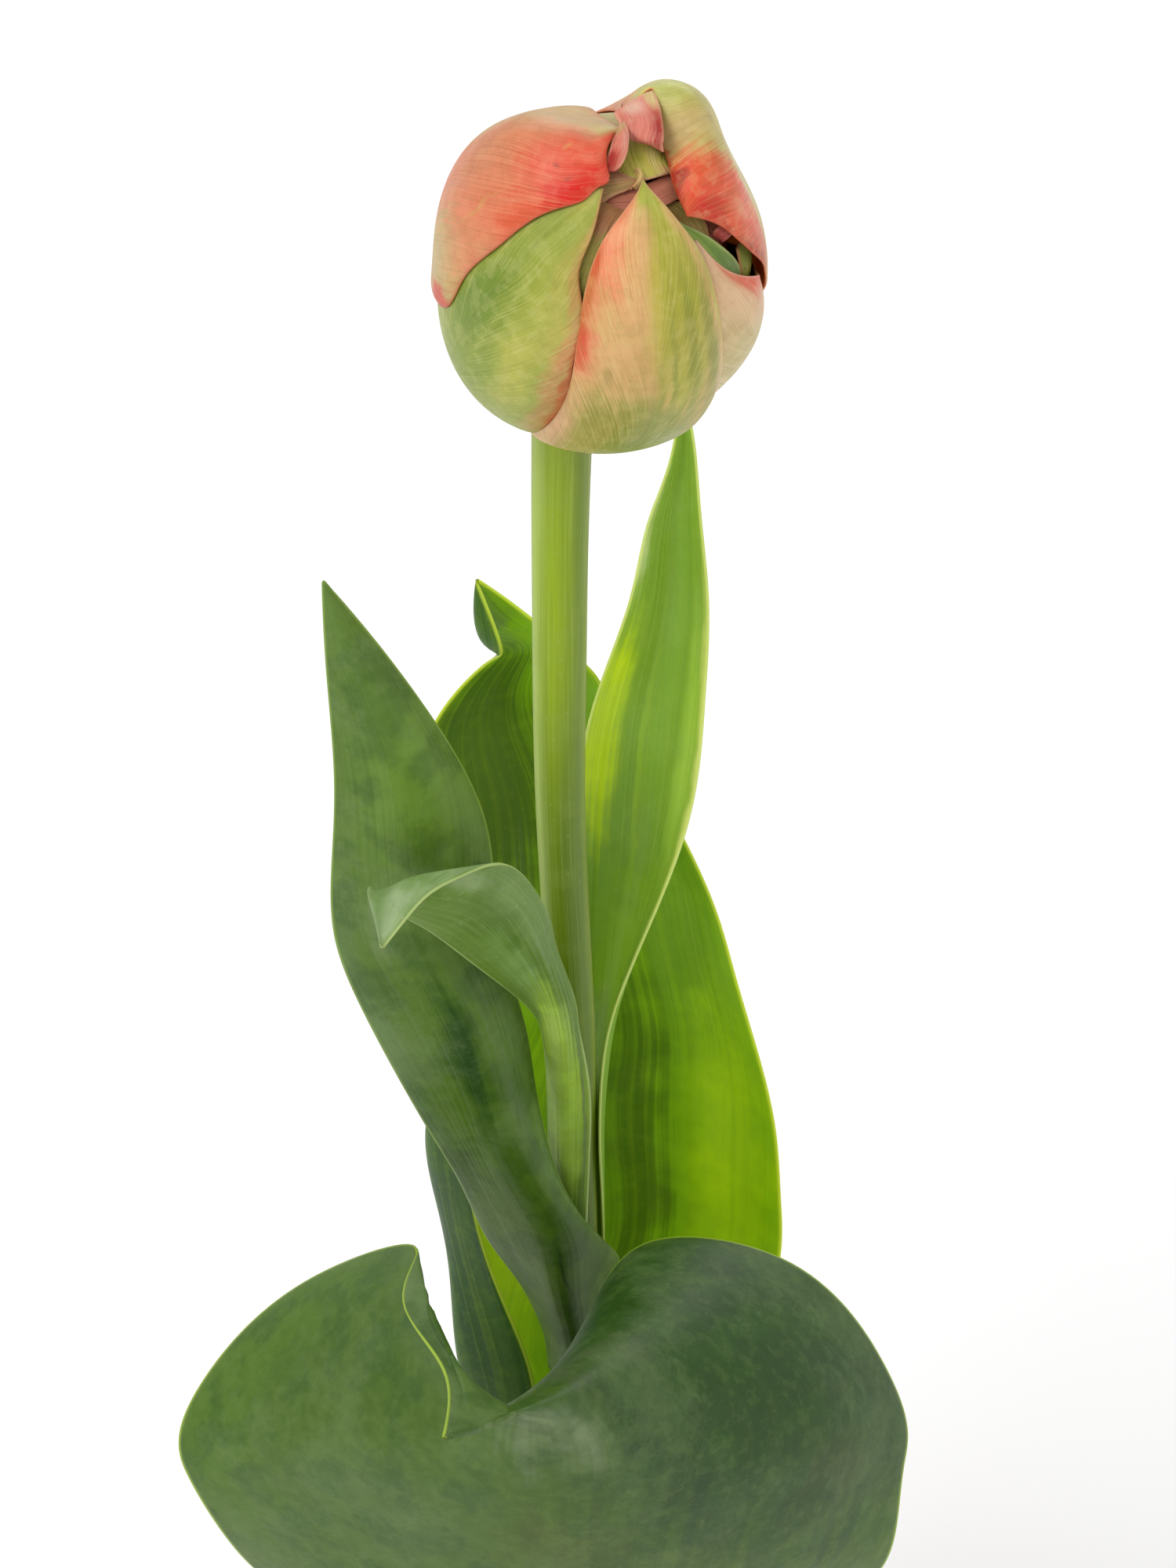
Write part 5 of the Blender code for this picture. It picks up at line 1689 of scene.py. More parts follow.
# First the name, front, back, light vein, dark vein and rim, with the rim's strength as a fourth number.
# A wash's row: red, green, blue, its middle u and v, its reach across and along, turn, strength,
# how far streaks push its edge, and where it is full.
PETAL_VEINS = Veins(
    fine=230, broad=30, fan=0.8, bend=1.4, light=0.17, dark=0.22, relief=0.04, hatch=0.5
)
FRONT_LEAF_FINISH = BladeFinish(
    "front_leaf", (80, 106, 38), (96, 122, 66), (118, 140, 84), (48, 70, 22), (160, 186, 66, 0.9),
    Veins(fine=70, broad=20, fan=0.4, light=0.03, dark=0.035, relief=0.03),
    bloom=(114, 134, 92, 0.3), mottle=(62, 90, 22, 0.5), rim_width=0.85, roughness=0.5, sheen=0.32,
    mottle_scale=110.0, grit=0.1,
    front_washes=(
        (58, 80, 20, 0.80, 0.78, 0.38, 0.30, 0, 1.0, 0.25, 0.4),
        (88, 118, 36, 0.04, 0.78, 0.16, 0.30, 0, 0.8, 0.3),
        (90, 114, 62, 0.26, 0.66, 0.20, 0.16, 0, 0.6, 0.4),
        # painted highlight: a pale grey-blue sheen where the leaf reflects the light, on its upper middle
        (132, 148, 112, 0.48, 0.83, 0.10, 0.12, 30, 0.65, 0.9, 0.0),
        (84, 100, 66, 0.62, 0.88, 0.14, 0.08, 0, 0.8, 0.5),
        (54, 74, 24, 0.60, 0.70, 0.08, 0.22, 0, 0.7, 0.5),
        (118, 138, 88, 0.5, 1.0, 0.6, 0.05, 0, 0.8, 0.3),
        (96, 122, 74, 0.04, 0.95, 0.06, 0.08, 0, 0.6, 0.4),
        (84, 92, 52, 0.50, 0.62, 0.10, 0.08, 0, 0.5, 0.9),
        (84, 90, 50, 0.86, 0.70, 0.08, 0.07, 0, 0.4, 0.9),
    ),
    back_washes=(
        (110, 132, 86, 0.05, 0.95, 0.2, 0.12, 0, 0.8, 0.4),
    ),
)
LEFT_LEAF_FINISH = BladeFinish(
    "left_leaf", (92, 120, 52), (90, 124, 60), (116, 140, 90), (50, 74, 30), (142, 168, 88, 0.8),
    Veins(fine=60, broad=16, fan=0.5, light=0.04, dark=0.05, relief=0.05),
    bloom=(130, 150, 104, 0.34), mottle=(56, 82, 30, 0.4), rim_width=0.7, roughness=0.5, sheen=0.32,
    mottle_scale=110.0, grit=0.09,
    front_washes=(
        (100, 126, 76, 0.03, 0.50, 0.12, 0.40, 0, 0.8, 0.4),
        (54, 78, 28, 0.42, 0.48, 0.16, 0.13, 10, 0.95, 0.3),
        (98, 126, 66, 0.84, 0.48, 0.16, 0.20, 0, 0.8, 0.6),
        (112, 140, 78, 0.90, 0.36, 0.10, 0.12, 0, 0.8, 0.6),
        (116, 148, 66, 0.6, 0.80, 0.6, 0.16, 0, 0.85, 0.5),
        (118, 138, 92, 0.24, 0.65, 0.10, 0.05, 20, 0.6, 0.6),
        (72, 96, 38, 0.5, 0.08, 0.6, 0.10, 0, 0.7, 0.4),
        (120, 146, 52, 0.98, 0.18, 0.14, 0.10, 0, 0.8, 0.4),
        (56, 78, 30, 0.52, 0.17, 0.03, 0.06, 24, 0.8, 0.4),
        (102, 130, 66, 0.5, 0.98, 0.6, 0.08, 0, 0.7, 0.4),
    ),
)
CURLED_LEAF_FINISH = BladeFinish(
    "curled_leaf", (104, 134, 60), (114, 142, 82), (160, 184, 128), (76, 104, 46), (184, 202, 134, 0.6),
    Veins(fine=44, broad=14, fan=0.3, light=0.12, dark=0.12, relief=0.05),
    bloom=(142, 164, 108, 0.25), mottle=(84, 112, 50, 0.25), fleck=(190, 200, 170, 0.15), rim_width=0.35,
    glow=0.25, grit=0.05,
    front_washes=(
        (132, 164, 94, 0.28, 0.60, 0.26, 0.14, 0, 0.8, 0.5),
        (84, 114, 44, 0.42, 0.74, 0.30, 0.10, 0, 0.8, 0.5),
        (142, 162, 116, 0.66, 0.86, 0.22, 0.06, 0, 0.9, 0.5),
        (164, 182, 142, 0.80, 0.955, 0.24, 0.05, 0, 0.9, 0.4),
        (214, 220, 200, 0.86, 0.925, 0.05, 0.016, 20, 0.9, 0.5),
        (172, 206, 84, 0.40, 0.30, 0.60, 0.30, 0, 1.0, 0.4, 0.6),
        (186, 214, 112, 0.36, 0.40, 0.22, 0.12, 0, 0.8, 0.6),
        (142, 172, 70, 1.0, 0.26, 0.14, 0.26, 0, 0.8, 0.3),
        (120, 128, 96, 0.90, 0.30, 0.03, 0.24, 0, 0.8, 0.4),
        (118, 152, 56, 0.4, 0.10, 0.7, 0.12, 0, 0.9, 0.4),
    ),
    back_washes=(
        (104, 134, 74, 0.5, 0.8, 0.5, 0.12, 0, 0.6, 0.5),
        (168, 186, 146, 0.7, 0.95, 0.4, 0.06, 0, 0.8, 0.5),
    ),
)
RIGHT_LEAF_FINISH = BladeFinish(
    "right_leaf", (128, 164, 62), (128, 166, 66), (190, 214, 96), (104, 142, 44), (206, 224, 132, 0.7),
    Veins(fine=40, broad=12, fan=0.3, light=0.09, dark=0.1, relief=0.05),
    bloom=(170, 196, 120, 0.15), rim_width=0.35, glow=0.4, grit=0.03,
    front_washes=(
        (198, 224, 44, 0.10, 0.62, 0.20, 0.18, 0, 0.95, 0.5, 0.3),
        (134, 168, 56, 0.28, 0.78, 0.20, 0.18, 0, 0.8, 0.5),
        (134, 172, 76, 0.58, 0.72, 0.20, 0.26, 0, 0.8, 0.6),
        (158, 190, 66, 0.42, 0.55, 0.04, 0.30, 2, 0.5, 0.6),
        (166, 200, 84, 0.86, 0.60, 0.14, 0.25, 0, 0.9, 0.4),
        (212, 226, 130, 1.0, 0.56, 0.08, 0.34, 0, 0.9, 0.3),
        (146, 186, 52, 0.5, 0.36, 0.6, 0.12, 0, 0.8, 0.5),
        (206, 220, 170, 0.0, 0.84, 0.12, 0.10, 0, 0.8, 0.4),
    ),
)
BACK_LEAF_FINISH = BladeFinish(
    # the front's bright ground is the leaf's green with painted light that shines through it
    "back_leaf", (138, 184, 30), (70, 104, 8), (180, 214, 60), (92, 134, 26), (196, 220, 80, 0.8),
    Veins(fine=60, broad=14, fan=0.3, light=0.08, dark=0.12, relief=0.05),
    bloom=(120, 150, 60, 0.1), mottle=(96, 138, 24, 0.12), rim_width=0.6, glow=0.45, grit=0.04,
    front_washes=(
        (104, 146, 48, 0.55, 0.50, 0.22, 0.40, 0, 0.85, 0.6),
        (82, 118, 30, 0.61, 0.42, 0.10, 0.34, 2, 1.0, 0.6),
        (176, 214, 44, 0.86, 0.42, 0.16, 0.26, 0, 0.95, 0.4, 0.3),
        (146, 186, 60, 0.90, 0.64, 0.14, 0.14, 0, 0.7, 0.5),
        (116, 156, 50, 0.74, 0.62, 0.20, 0.12, 0, 0.6, 0.6),
        # painted light: the brightest yellow-green, low on the left, where light shines through the leaf
        (186, 220, 30, 0.25, 0.28, 0.24, 0.16, 0, 0.95, 0.5, 0.4),
        (84, 116, 44, 0.20, 0.80, 0.46, 0.20, 0, 1.0, 0.4, 0.4),
        (104, 132, 82, 0.5, 0.97, 0.6, 0.06, 0, 0.8, 0.4),
    ),
    back_washes=(
        # painted shade: dark green on the back of the rolled-forward left margin, low down
        (52, 80, 6, 0.05, 0.34, 0.3, 0.3, 0, 0.9, 0.4),
    ),
)
OUTER_LEFT_FINISH = BladeFinish(
    "outer_left_petal", (220, 132, 98), (206, 84, 62), (232, 160, 124), (176, 92, 62), (214, 110, 84, 0.5),
    PETAL_VEINS,
    mottle=(190, 140, 96, 0.2), rim_width=0.35, roughness=0.42, grit=0.14,
    front_washes=(
        (186, 164, 106, 0.22, 0.80, 0.36, 0.50, 0, 0.95, 0.25, 0.35),
        (186, 170, 106, 0.86, 0.44, 0.40, 0.26, 0, 0.95, 0.4, 0.4),
        (204, 140, 104, 0.62, 0.72, 0.20, 0.16, 0, 0.7, 0.6),
        (228, 92, 72, 0.76, 0.93, 0.30, 0.16, -6, 0.95, 0.35, 0.4),
        (226, 92, 66, 1.0, 0.80, 0.18, 0.14, 0, 0.8, 0.5),
        (218, 44, 30, 0.98, 0.91, 0.24, 0.085, 0, 1.0, 0.4, 0.35),
        (214, 152, 106, 0.92, 0.62, 0.10, 0.12, 0, 0.7, 0.6),
        (192, 182, 110, 0.20, 1.00, 0.44, 0.06, 0, 0.95, 0.3, 0.4),
        (220, 160, 100, 0.63, 0.93, 0.04, 0.016, 0, 0.6, 0.8),
        (206, 160, 96, 0.83, 0.72, 0.012, 0.07, 24, 0.7, 0.8),
        (150, 78, 68, 0.75, 0.90, 0.025, 0.010, 0, 0.6, 0.5),
        (146, 66, 62, 0.845, 0.91, 0.025, 0.008, 0, 0.6, 0.5),
        (206, 64, 44, 0.97, 0.455, 0.16, 0.06, 0, 1.0, 0.4, 0.3),
    ),
    back_washes=(
        (186, 34, 30, 0.9, 0.95, 0.5, 0.2),
    ),
)
INNER_LEFT_FINISH = BladeFinish(
    "inner_left_petal", (156, 166, 72), (206, 150, 110), (212, 206, 138),
    (128, 136, 58), (196, 120, 88, 0.35),
    PETAL_VEINS,
    mottle=(124, 148, 62, 0.2), rim_width=0.3, roughness=0.42, grit=0.14,
    front_washes=(
        (152, 166, 80, 0.36, 0.80, 0.34, 0.22, 0, 0.7, 0.3, 0.3),
        (108, 136, 32, 0.46, 0.62, 0.24, 0.20, 14, 0.95, 0.4, 0.2),
        (128, 150, 52, 0.56, 0.42, 0.26, 0.18, 10, 0.8, 0.4, 0.2),
        (186, 184, 86, 0.76, 0.58, 0.12, 0.30, 6, 0.85, 0.5),
        (196, 182, 98, 0.90, 0.76, 0.18, 0.24, 0, 0.8, 0.5, 0.3),
        (214, 164, 106, 1.0, 0.74, 0.12, 0.30, 0, 0.85, 0.6, 0.3),
        (204, 150, 110, 0.96, 0.44, 0.13, 0.22, 0, 0.8, 0.5),
        (208, 84, 64, 1.01, 0.55, 0.04, 0.36, 0, 1.0, 0.4, 0.3),
        (214, 206, 112, 0.5, 1.0, 0.6, 0.09, 0, 0.8, 0.3),
        (210, 138, 100, 0.94, 0.57, 0.07, 0.24, 0, 0.75, 0.6, 0.1),
        (206, 80, 62, 0.985, 0.54, 0.035, 0.26, 0, 0.85, 0.4, 0.2),
        (218, 178, 112, 1.0, 0.92, 0.12, 0.12, 0, 0.8, 0.4, 0.2),
    ),
)
OUTER_FRONT_FINISH = BladeFinish(
    "outer_front_petal", (214, 170, 112), (214, 110, 84), (226, 206, 138),
    (150, 140, 64), (224, 186, 140, 0.5),
    PETAL_VEINS,
    mottle=(180, 164, 92, 0.25), rim_width=0.3, roughness=0.4, grit=0.14,
    front_washes=(
        (230, 178, 126, 0.26, 0.80, 0.28, 0.30, 0, 0.9, 0.3, 0.3),
        (230, 122, 96, 0.0, 0.72, 0.19, 0.30, 0, 0.95, 0.35, 0.2),
        (224, 84, 64, 0.0, 0.70, 0.11, 0.16, 0, 0.9, 0.4),
        (166, 164, 84, 0.40, 0.40, 0.50, 0.22, 0, 0.9, 0.35, 0.4),
        (172, 172, 66, 0.70, 0.76, 0.26, 0.40, 4, 0.95, 0.35, 0.5),
        (200, 188, 84, 0.50, 0.74, 0.08, 0.26, 4, 0.6, 0.6),
        (130, 140, 44, 0.63, 0.66, 0.035, 0.28, 3, 0.6, 0.6),
        (128, 140, 46, 0.76, 0.66, 0.07, 0.28, 4, 0.75, 0.6),
        (146, 156, 58, 0.55, 0.52, 0.04, 0.20, 3, 0.5, 0.6),
        (122, 138, 58, 0.90, 0.58, 0.08, 0.32, 4, 0.8, 0.4),
        (190, 190, 100, 0.98, 0.74, 0.035, 0.25, 3, 0.7, 0.5),
        (138, 150, 70, 0.64, 0.36, 0.44, 0.20, 0, 1.0, 0.4, 0.3),
        (214, 158, 122, 0.04, 0.40, 0.14, 0.16, 0, 0.8, 0.5),
        (178, 186, 82, 0.5, 1.0, 0.7, 0.09, 0, 0.95, 0.3, 0.4),
        (142, 134, 76, 0.21, 0.60, 0.06, 0.035, 0, 0.45, 0.8),
        (206, 190, 104, 0.19, 0.53, 0.010, 0.05, 0, 0.6, 0.6),
        (228, 108, 84, 0.0, 0.86, 0.13, 0.20, 0, 1.0, 0.5, 0.2),
        (154, 150, 74, 0.24, 0.46, 0.20, 0.12, 0, 0.75, 0.8),
        (242, 140, 110, 0.08, 0.82, 0.26, 0.20, 0, 0.85, 0.4, 0.3),
        (214, 80, 60, 0.02, 0.73, 0.07, 0.18, 0, 0.95, 0.4, 0.3),
    ),
)
INNER_RIGHT_FINISH = BladeFinish(
    "inner_right_petal", (218, 190, 142), (214, 120, 92), (232, 206, 168),
    (176, 140, 92), (232, 176, 150, 0.6),
    PETAL_VEINS,
    mottle=(208, 164, 126, 0.2), rim_width=0.35, roughness=0.42, grit=0.14,
    front_washes=(
        (230, 188, 148, 0.66, 0.88, 0.5, 0.24, 0, 0.95, 0.3, 0.3),
        (186, 176, 110, 0.40, 0.56, 0.42, 0.22, 0, 0.8, 0.5),
        (210, 156, 124, 0.78, 0.68, 0.18, 0.14, 0, 0.6, 0.6),
        (226, 92, 72, 1.0, 0.80, 0.34, 0.15, 0, 1.0, 0.4, 0.3),
        (172, 172, 104, 0.6, 0.32, 0.6, 0.25, 0, 0.9, 0.4, 0.4),
    ),
)
OUTER_RIGHT_FINISH = BladeFinish(
    "outer_right_petal", (196, 182, 110), (208, 92, 70), (226, 204, 146),
    (150, 120, 62), (222, 110, 80, 0.4),
    replace(PETAL_VEINS, light=0.10, dark=0.18),
    mottle=(188, 168, 100, 0.12), rim_width=0.35, roughness=0.4, grit=0.14,
    front_washes=(
        (178, 186, 104, 0.76, 0.93, 0.26, 0.14, 0, 0.9, 0.4, 0.3),
        (206, 178, 124, 0.48, 0.96, 0.16, 0.12, 0, 0.8, 0.6),
        (172, 168, 80, 0.60, 0.86, 0.08, 0.12, 0, 0.6, 0.8),
        (232, 92, 70, 0.08, 0.885, 0.27, 0.30, 0, 1.0, 0.35, 0.5),
        (196, 48, 36, 0.08, 1.0, 0.30, 0.075, 0, 1.0, 0.35, 0.4),
        (212, 96, 76, 0.05, 0.66, 0.12, 0.16, 0, 0.8, 0.5),
        (236, 150, 124, 0.12, 0.82, 0.05, 0.08, 0, 0.6, 0.5),
        (160, 44, 32, 0.0, 0.86, 0.06, 0.08, 0, 1.0, 0.4),
        (168, 52, 40, 0.0, 0.72, 0.05, 0.14, 0, 0.9, 0.4),
        (222, 160, 118, 0.52, 1.0, 0.10, 0.035, 0, 0.8, 0.4),
        (226, 212, 120, 0.86, 1.0, 0.10, 0.05, 0, 0.9, 0.3),
        (212, 130, 108, 1.0, 0.7, 0.10, 0.5, 0, 0.9, 0.4),
        (182, 176, 110, 0.5, 0.3, 0.8, 0.30, 0, 0.9, 0.4, 0.4),
        (230, 96, 74, 0.02, 0.95, 0.16, 0.12, 0, 0.95, 0.4, 0.3),
        (204, 44, 34, 0.03, 0.89, 0.12, 0.06, 0, 0.9, 0.5),
        (228, 84, 64, 0.14, 0.955, 0.34, 0.09, 0, 1.0, 0.4, 0.4),
        (176, 36, 28, 0.28, 1.0, 0.25, 0.03, 0, 1.0, 0.4, 0.5),
        (206, 40, 34, 0.02, 0.90, 0.13, 0.08, 0, 0.95, 0.5, 0.2),
    ),
    back_washes=(
        (214, 140, 110, 0.9, 0.9, 0.4, 0.3, 0, 0.9, 0.5),
        (160, 34, 28, 0.3, 0.9, 0.4, 0.3, 0, 0.9, 0.5),
    ),
)
INNER_BACK_FINISH = BladeFinish(
    "inner_back_petal", (196, 170, 116), (206, 128, 104), (230, 190, 150),
    (170, 90, 66), (214, 130, 100, 0.3),
    PETAL_VEINS,
    front_washes=(
        (160, 172, 96, 0.5, 0.5, 0.25, 0.5, 0, 0.8, 0.9),
        (222, 120, 92, 0.0, 0.8, 0.25, 0.3, 0, 0.8, 0.7),
        (222, 120, 92, 1.0, 0.8, 0.25, 0.3, 0, 0.8, 0.7),
    ),
    back_washes=(
        (176, 44, 38, 0.08, 0.70, 0.14, 0.35, 0, 1.0, 0.4, 0.3),
        (214, 150, 124, 0.26, 0.95, 0.14, 0.2, 0, 0.8, 0.6),
    ),
)
CORE_BACK_FINISH = BladeFinish(
    "core_back_petal", (190, 182, 84), (200, 140, 100), (220, 210, 140),
    (140, 136, 60), (226, 172, 136, 0.7),
    Veins(fine=70, broad=20, fan=0.5, light=0.2, dark=0.3),
    rim_width=0.5,
    front_washes=(
        (156, 164, 70, 0.55, 0.92, 0.10, 0.12, 30, 0.7, 1.2),
        (206, 190, 122, 0.30, 0.96, 0.16, 0.12, 0, 0.7, 0.9),
        (222, 160, 126, 0.12, 0.99, 0.22, 0.05, 0, 0.9, 0.6),
        (216, 140, 112, 0.0, 0.94, 0.10, 0.2, 0, 0.8, 0.6),
    ),
)
CORE_LEFT_FINISH = BladeFinish(
    "core_left_petal", (186, 140, 104), (180, 96, 76), (214, 180, 130), (130, 92, 52), (214, 160, 124, 0.6),
    Veins(fine=60, broad=18, fan=0.5, light=0.2, dark=0.3),
    front_washes=(
        (176, 152, 92, 0.85, 0.95, 0.22, 0.14, 0, 0.8, 1.0),
        (164, 104, 82, 0.30, 0.98, 0.3, 0.06, 0, 0.8, 0.6),
    ),
)
CORE_FRONT_FINISH = BladeFinish(
    "core_front_petal", (152, 142, 72), (150, 96, 70), (190, 176, 110), (96, 92, 38), (196, 140, 104, 0.6),
    Veins(fine=60, broad=16, fan=0.3, light=0.2, dark=0.3),
    front_washes=(
        (170, 112, 80, 0.45, 1.0, 0.6, 0.10, 0, 0.95, 0.5, 0.4),
        (118, 122, 52, 0.5, 0.70, 0.5, 0.14, 0, 0.7, 0.8),
        (190, 110, 84, 0.9, 0.97, 0.2, 0.08, 0, 0.7, 0.6),
    ),
)
CORE_MIDDLE_FINISH = BladeFinish(
    "core_middle_petal", (150, 124, 70), (140, 80, 60), (190, 160, 110),
    (100, 76, 40), (200, 150, 110, 0.6),
    Veins(fine=60, broad=16, fan=0.3, light=0.2, dark=0.3),
    front_washes=(
        (176, 108, 82, 0.5, 1.0, 0.5, 0.06, 0, 0.8, 0.5),
        (164, 150, 84, 0.9, 0.93, 0.3, 0.08, 0, 0.8, 0.6),
    ),
)
CORE_RIGHT_FINISH = BladeFinish(
    "core_right_petal", (134, 158, 72), (150, 130, 84), (176, 190, 120),
    (90, 116, 52), (186, 198, 130, 0.6),
    Veins(fine=80, broad=20, fan=0.5, light=0.14, dark=0.2),
    front_washes=(
        (104, 136, 66, 0.9, 0.82, 0.14, 0.2, 0, 0.8, 0.6),
        (168, 186, 116, 1.0, 0.86, 0.03, 0.3, 0, 0.8, 0.4),
    ),
)
CORE_FAR_FINISH = BladeFinish(
    "core_far_petal", (142, 156, 60), (170, 120, 80), (196, 196, 110), (100, 112, 40), (196, 130, 96, 0.6),
    Veins(fine=60, broad=24, fan=0.3, light=0.3, dark=0.3),
    front_washes=(
        (186, 178, 92, 0.25, 0.9, 0.3, 0.06, 0, 0.6, 1.0),
        (60, 60, 26, 0.2, 0.93, 0.05, 0.012, 0, 0.9, 0.3),
        (196, 120, 84, 0.0, 0.95, 0.10, 0.1, 0, 0.8, 0.6),
    ),
)
CORE_TOP_FINISH = BladeFinish(
    "core_top_petal", (208, 132, 108), (176, 90, 72), (222, 160, 120), (150, 76, 54), (214, 140, 110, 0.6),
    Veins(fine=60, broad=18, fan=0.4, light=0.2, dark=0.25),
    front_washes=(
        (190, 104, 84, 0.9, 0.90, 0.3, 0.10, 0, 0.6, 0.5),
        (214, 140, 106, 0.2, 1.0, 0.3, 0.05, 0, 0.7, 0.6),
    ),
)
TIP_FOLD_FINISH = BladeFinish(
    "tip_fold", (226, 134, 116), (190, 60, 46), (236, 190, 160), (190, 90, 70), (232, 176, 146, 0.6),
    Veins(fine=40, broad=12, light=0.12, dark=0.2),
    front_washes=(
        # painted shade: this row and the last paint deep red at the fold's first rows and left side, where it
        # rolls in under the petal's margin
        (184, 24, 20, 0.1, 0.1, 0.55, 0.5, 0, 1.0, 0.3, 0.3),
        (206, 178, 122, 0.6, 1.0, 0.9, 0.25, 0, 0.9, 0.4, 0.3),
        (232, 170, 150, 0.75, 0.6, 0.2, 0.4, 0, 0.7, 0.6),
        (176, 34, 28, 0.10, 0.10, 0.8, 0.50, 0, 1.0, 0.3, 0.5),
    ),
)
HOOD_FOLD_FINISH = BladeFinish(
    "hood_fold", (222, 132, 116), (200, 70, 56), (240, 206, 186), (196, 90, 76), (236, 190, 160, 0.3),
    Veins(fine=60, broad=16, light=0.15, dark=0.2),
    front_washes=(
        (232, 190, 168, 0.40, 0.80, 0.4, 0.30, 0, 0.9, 0.4),
        # painted shadow: dark red down the fold's right side, beside the petal's front margin
        (168, 40, 30, 1.0, 0.45, 0.42, 0.50, 0, 1.0, 0.4, 0.3),
        (214, 196, 128, 0.86, 1.0, 0.22, 0.30, 0, 0.95, 0.6, 0.3),
    ),
)
CORE_CURL_FINISH = BladeFinish(
    "core_curl", (212, 178, 112), (180, 130, 90), (232, 208, 150), (150, 110, 60), (226, 190, 130, 0.6),
    Veins(fine=20, broad=8, light=0.15, dark=0.25),
    front_washes=(
        (206, 120, 96, 0.2, 0.0, 0.6, 0.5, 0, 0.8, 0.5),
    ),
)
FAR_CURL_FINISH = BladeFinish(
    "far_curl", (196, 84, 76), (150, 50, 44), (232, 160, 140), (130, 40, 36), (222, 140, 120, 0.6),
    Veins(fine=20, broad=8, light=0.15, dark=0.25),
    front_washes=(
        (226, 130, 116, 0.5, 0.75, 0.6, 0.3, 0, 0.8, 0.5),
    ),
)

LEAVES = (
    Leaf("leaf_front", "leaf_dark", FRONT_LEAF_FINISH, FRONT_LEAF, 260, 110, 0.8, 0.46, 0.5, 3),
    Leaf("leaf_left", "leaf_dark", LEFT_LEAF_FINISH, LEFT_LEAF, 220, 72, 0.78, 0.42, 0.12, 5),
    Leaf("leaf_curled", "leaf_pale", CURLED_LEAF_FINISH, CURLED_LEAF, 200, 56, 0.76, 0.4, 0.08, 7),
    Leaf("leaf_right", "leaf_bright", RIGHT_LEAF_FINISH, RIGHT_LEAF, 200, 56, 0.76, 0.4, 0.1, 9),
    Leaf("leaf_back", "leaf_bright", BACK_LEAF_FINISH, BACK_LEAF, 220, 90, 0.78, 0.42, 0.25, 11),
)
PETALS = (
    Petal("petal_outer_left", "petal_coral", OUTER_LEFT_FINISH, OUTER_LEFT_PETAL, tuck=(0.0, 0.5)),
    Petal("petal_inner_left", "petal_green", INNER_LEFT_FINISH, INNER_LEFT_PETAL, tuck=(0.0, 0.5)),
    Petal("petal_outer_front", "petal_coral", OUTER_FRONT_FINISH, OUTER_FRONT_PETAL, tuck=(0.5, 0.4)),
    Petal("petal_inner_right", "petal_green", INNER_RIGHT_FINISH, INNER_RIGHT_PETAL),
    Petal(
        "petal_outer_right", "petal_coral", OUTER_RIGHT_FINISH, net=OUTER_RIGHT_PETAL, rows=130, columns=72
    ),
    Petal("petal_inner_back", "petal_green", INNER_BACK_FINISH, INNER_BACK_PETAL),
    Petal("petal_core_back", "petal_core", CORE_BACK_FINISH, net=CORE_BACK_PETAL, rows=90, columns=40),
    Petal("petal_core_left", "petal_core", CORE_LEFT_FINISH, CORE_LEFT_PETAL, rows=70, columns=32),
    Petal("petal_core_front", "petal_core", CORE_FRONT_FINISH, CORE_FRONT_PETAL, rows=70, columns=32),
    Petal("petal_core_middle", "petal_core", CORE_MIDDLE_FINISH, CORE_MIDDLE_PETAL, rows=70, columns=32),
    Petal("petal_core_right", "petal_core", CORE_RIGHT_FINISH, CORE_RIGHT_PETAL, rows=70, columns=32),
    Petal("petal_core_far", "petal_core", CORE_FAR_FINISH, CORE_FAR_PETAL, rows=70, columns=32),
    Petal("petal_core_top", "petal_core", CORE_TOP_FINISH, net=CORE_TOP_PETAL, rows=80, columns=32),
    Fold("tip_fold", "petal_coral", TIP_FOLD_FINISH, net=TIP_FOLD, rows=40, columns=32),
    Fold("hood_fold", "petal_coral", HOOD_FOLD_FINISH, net=HOOD_FOLD, rows=50, columns=40),
    Fold("core_curl", "petal_core", CORE_CURL_FINISH, net=CORE_CURL, rows=30, columns=14),
    Fold("far_curl", "petal_core", FAR_CURL_FINISH, net=FAR_CURL, rows=30, columns=16),
)


# ---------------------------------------------------------------- the studio


@dataclass(frozen=True)
class SoftLight:
    """One broad lamp: its name, where it hangs, what it faces, how wide it is and how bright."""

    name: str
    place: tuple[float, float, float]
    aim: tuple[float, float, float]
    width: float
    power: float
    warmth: Colour = (1.0, 1.0, 1.0, 1.0)

    def hang(self) -> None:
        """Hangs the lamp: its axis runs from its place to its aim."""
        lamp = bpy.data.lights.new(self.name, "AREA")
        lamp.shape = "SQUARE"
        lamp.size = self.width
        lamp.energy = self.power
        lamp.color = self.warmth[:3]
        thing = bpy.data.objects.new(self.name, lamp)
        thing.location = self.place
        away = np.array(self.aim) - np.array(self.place)
        flat = float(np.hypot(away[0], away[1]))
        turn = np.arctan2(away[1], away[0]) - np.pi / 2
        thing.rotation_euler = (np.arctan2(flat, -away[2]), 0.0, turn)
        bpy.context.scene.collection.objects.link(thing)


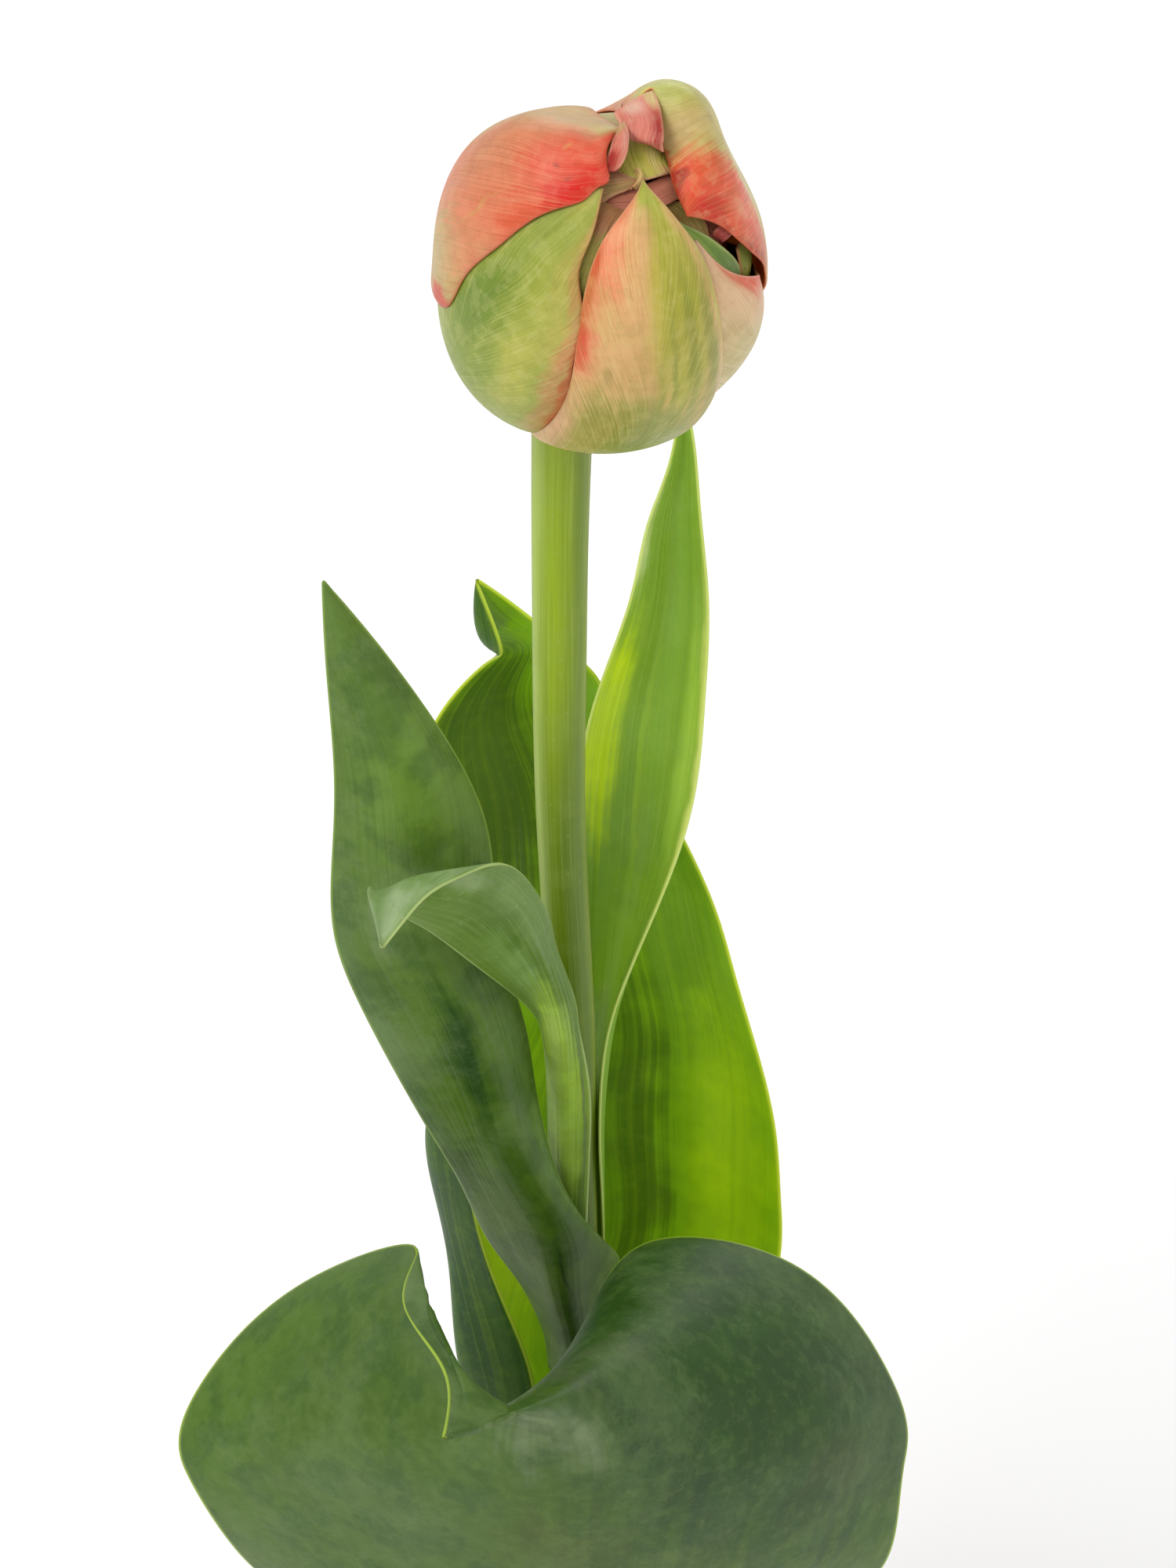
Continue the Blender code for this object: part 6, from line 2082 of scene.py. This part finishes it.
@dataclass(frozen=True)
class Studio:
    """A plain pale floor under soft white light, and the camera that looks down at the flower."""

    floor_reach: float = 5.0
    sky: float = 0.64
    lens: float = 100.0
    sensor: float = 36.0
    camera_place: tuple[float, float, float] = (0.369, -569.92, 685.67)
    camera_tilt: float = 55.0
    lamps: tuple[SoftLight, ...] = (
        SoftLight("key_lamp", (-1.0, -0.9, 1.7), (0.0, 0.0, 0.3), 1.1, 19.0),
        SoftLight("fill_lamp", (1.5, -0.7, 1.0), (0.0, 0.0, 0.3), 1.4, 6.0),
        SoftLight("back_lamp", (0.3, 1.6, 1.3), (0.0, 0.0, 0.3), 1.4, 12.0),
    )

    def lay_floor(self) -> None:
        """A level square at the pot's foot, with a pale matt finish that is barely uneven."""
        reach = self.floor_reach
        mesh = bpy.data.meshes.new("floor")
        signs = ((-1, -1), (1, -1), (1, 1), (-1, 1))
        corners = [(reach * x, reach * y, 0.0) for x, y in signs]
        mesh.from_pydata(corners, [], [(0, 1, 2, 3)])
        bench = Bench("pale_floor")
        cloud = bench.noise(bench.place(), 1.5, 2.0)
        colour = bench.mix(cloud, (0.93, 0.93, 0.93, 1.0), (0.95, 0.95, 0.95, 1.0))
        grain = bench.noise(bench.place(), 60.0, 2.0)
        normal = bench.bump(grain, 0.02, 0.1)
        mesh.materials.append(bench.finish(colour, 0.9, normal, Specular_IOR_Level=0.1))
        floor = bpy.data.objects.new("floor", mesh)
        bpy.context.scene.collection.objects.link(floor)

    def light(self) -> None:
        """An even white sky and the lamps."""
        world = bpy.data.worlds.new("studio")
        world.use_nodes = True
        ground = world.node_tree.nodes["Background"]
        ground.inputs["Color"].default_value = (1.0, 1.0, 1.0, 1.0)
        ground.inputs["Strength"].default_value = self.sky
        bpy.context.scene.world = world
        for lamp in self.lamps:
            lamp.hang()
        bpy.context.scene.view_settings.view_transform = "Standard"

    def place_camera(self) -> None:
        """The camera: a long lens, above and in front of the flower, tilted down by 35 degrees."""
        camera = bpy.data.cameras.new("camera")
        camera.lens = self.lens
        camera.sensor_fit = "VERTICAL"
        camera.sensor_height = self.sensor
        camera.clip_start = 0.02
        thing = bpy.data.objects.new("camera", camera)
        thing.location = tuple(part * MM for part in self.camera_place)
        thing.rotation_euler = (np.radians(self.camera_tilt), 0.0, 0.0)
        bpy.context.scene.collection.objects.link(thing)
        bpy.context.scene.camera = thing

    def build(self) -> None:
        """Sets up the camera, the floor and the light."""
        self.place_camera()
        self.lay_floor()
        self.light()


def main() -> None:
    """Builds the studio and every piece in order."""
    logging.basicConfig(level=logging.INFO, format="%(message)s")
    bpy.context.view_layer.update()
    Studio().build()
    pot, bulb, bud, stem = ClayPot(), Bulb(), BudShape(), FlowerStem()
    pieces = [pot.build(), *PottingSoil().build(pot, bulb), bulb.build(), stem.build(bud)]
    pieces += [leaf.build(stem) for leaf in LEAVES]
    pieces += [petal.build(bud) for petal in PETALS]
    for piece in pieces:
        log.info("%s: %d faces", piece.name, len(piece.data.polygons))
    log.info("faces in all: %d", sum(len(piece.data.polygons) for piece in pieces))


if __name__ == "__main__":
    main()
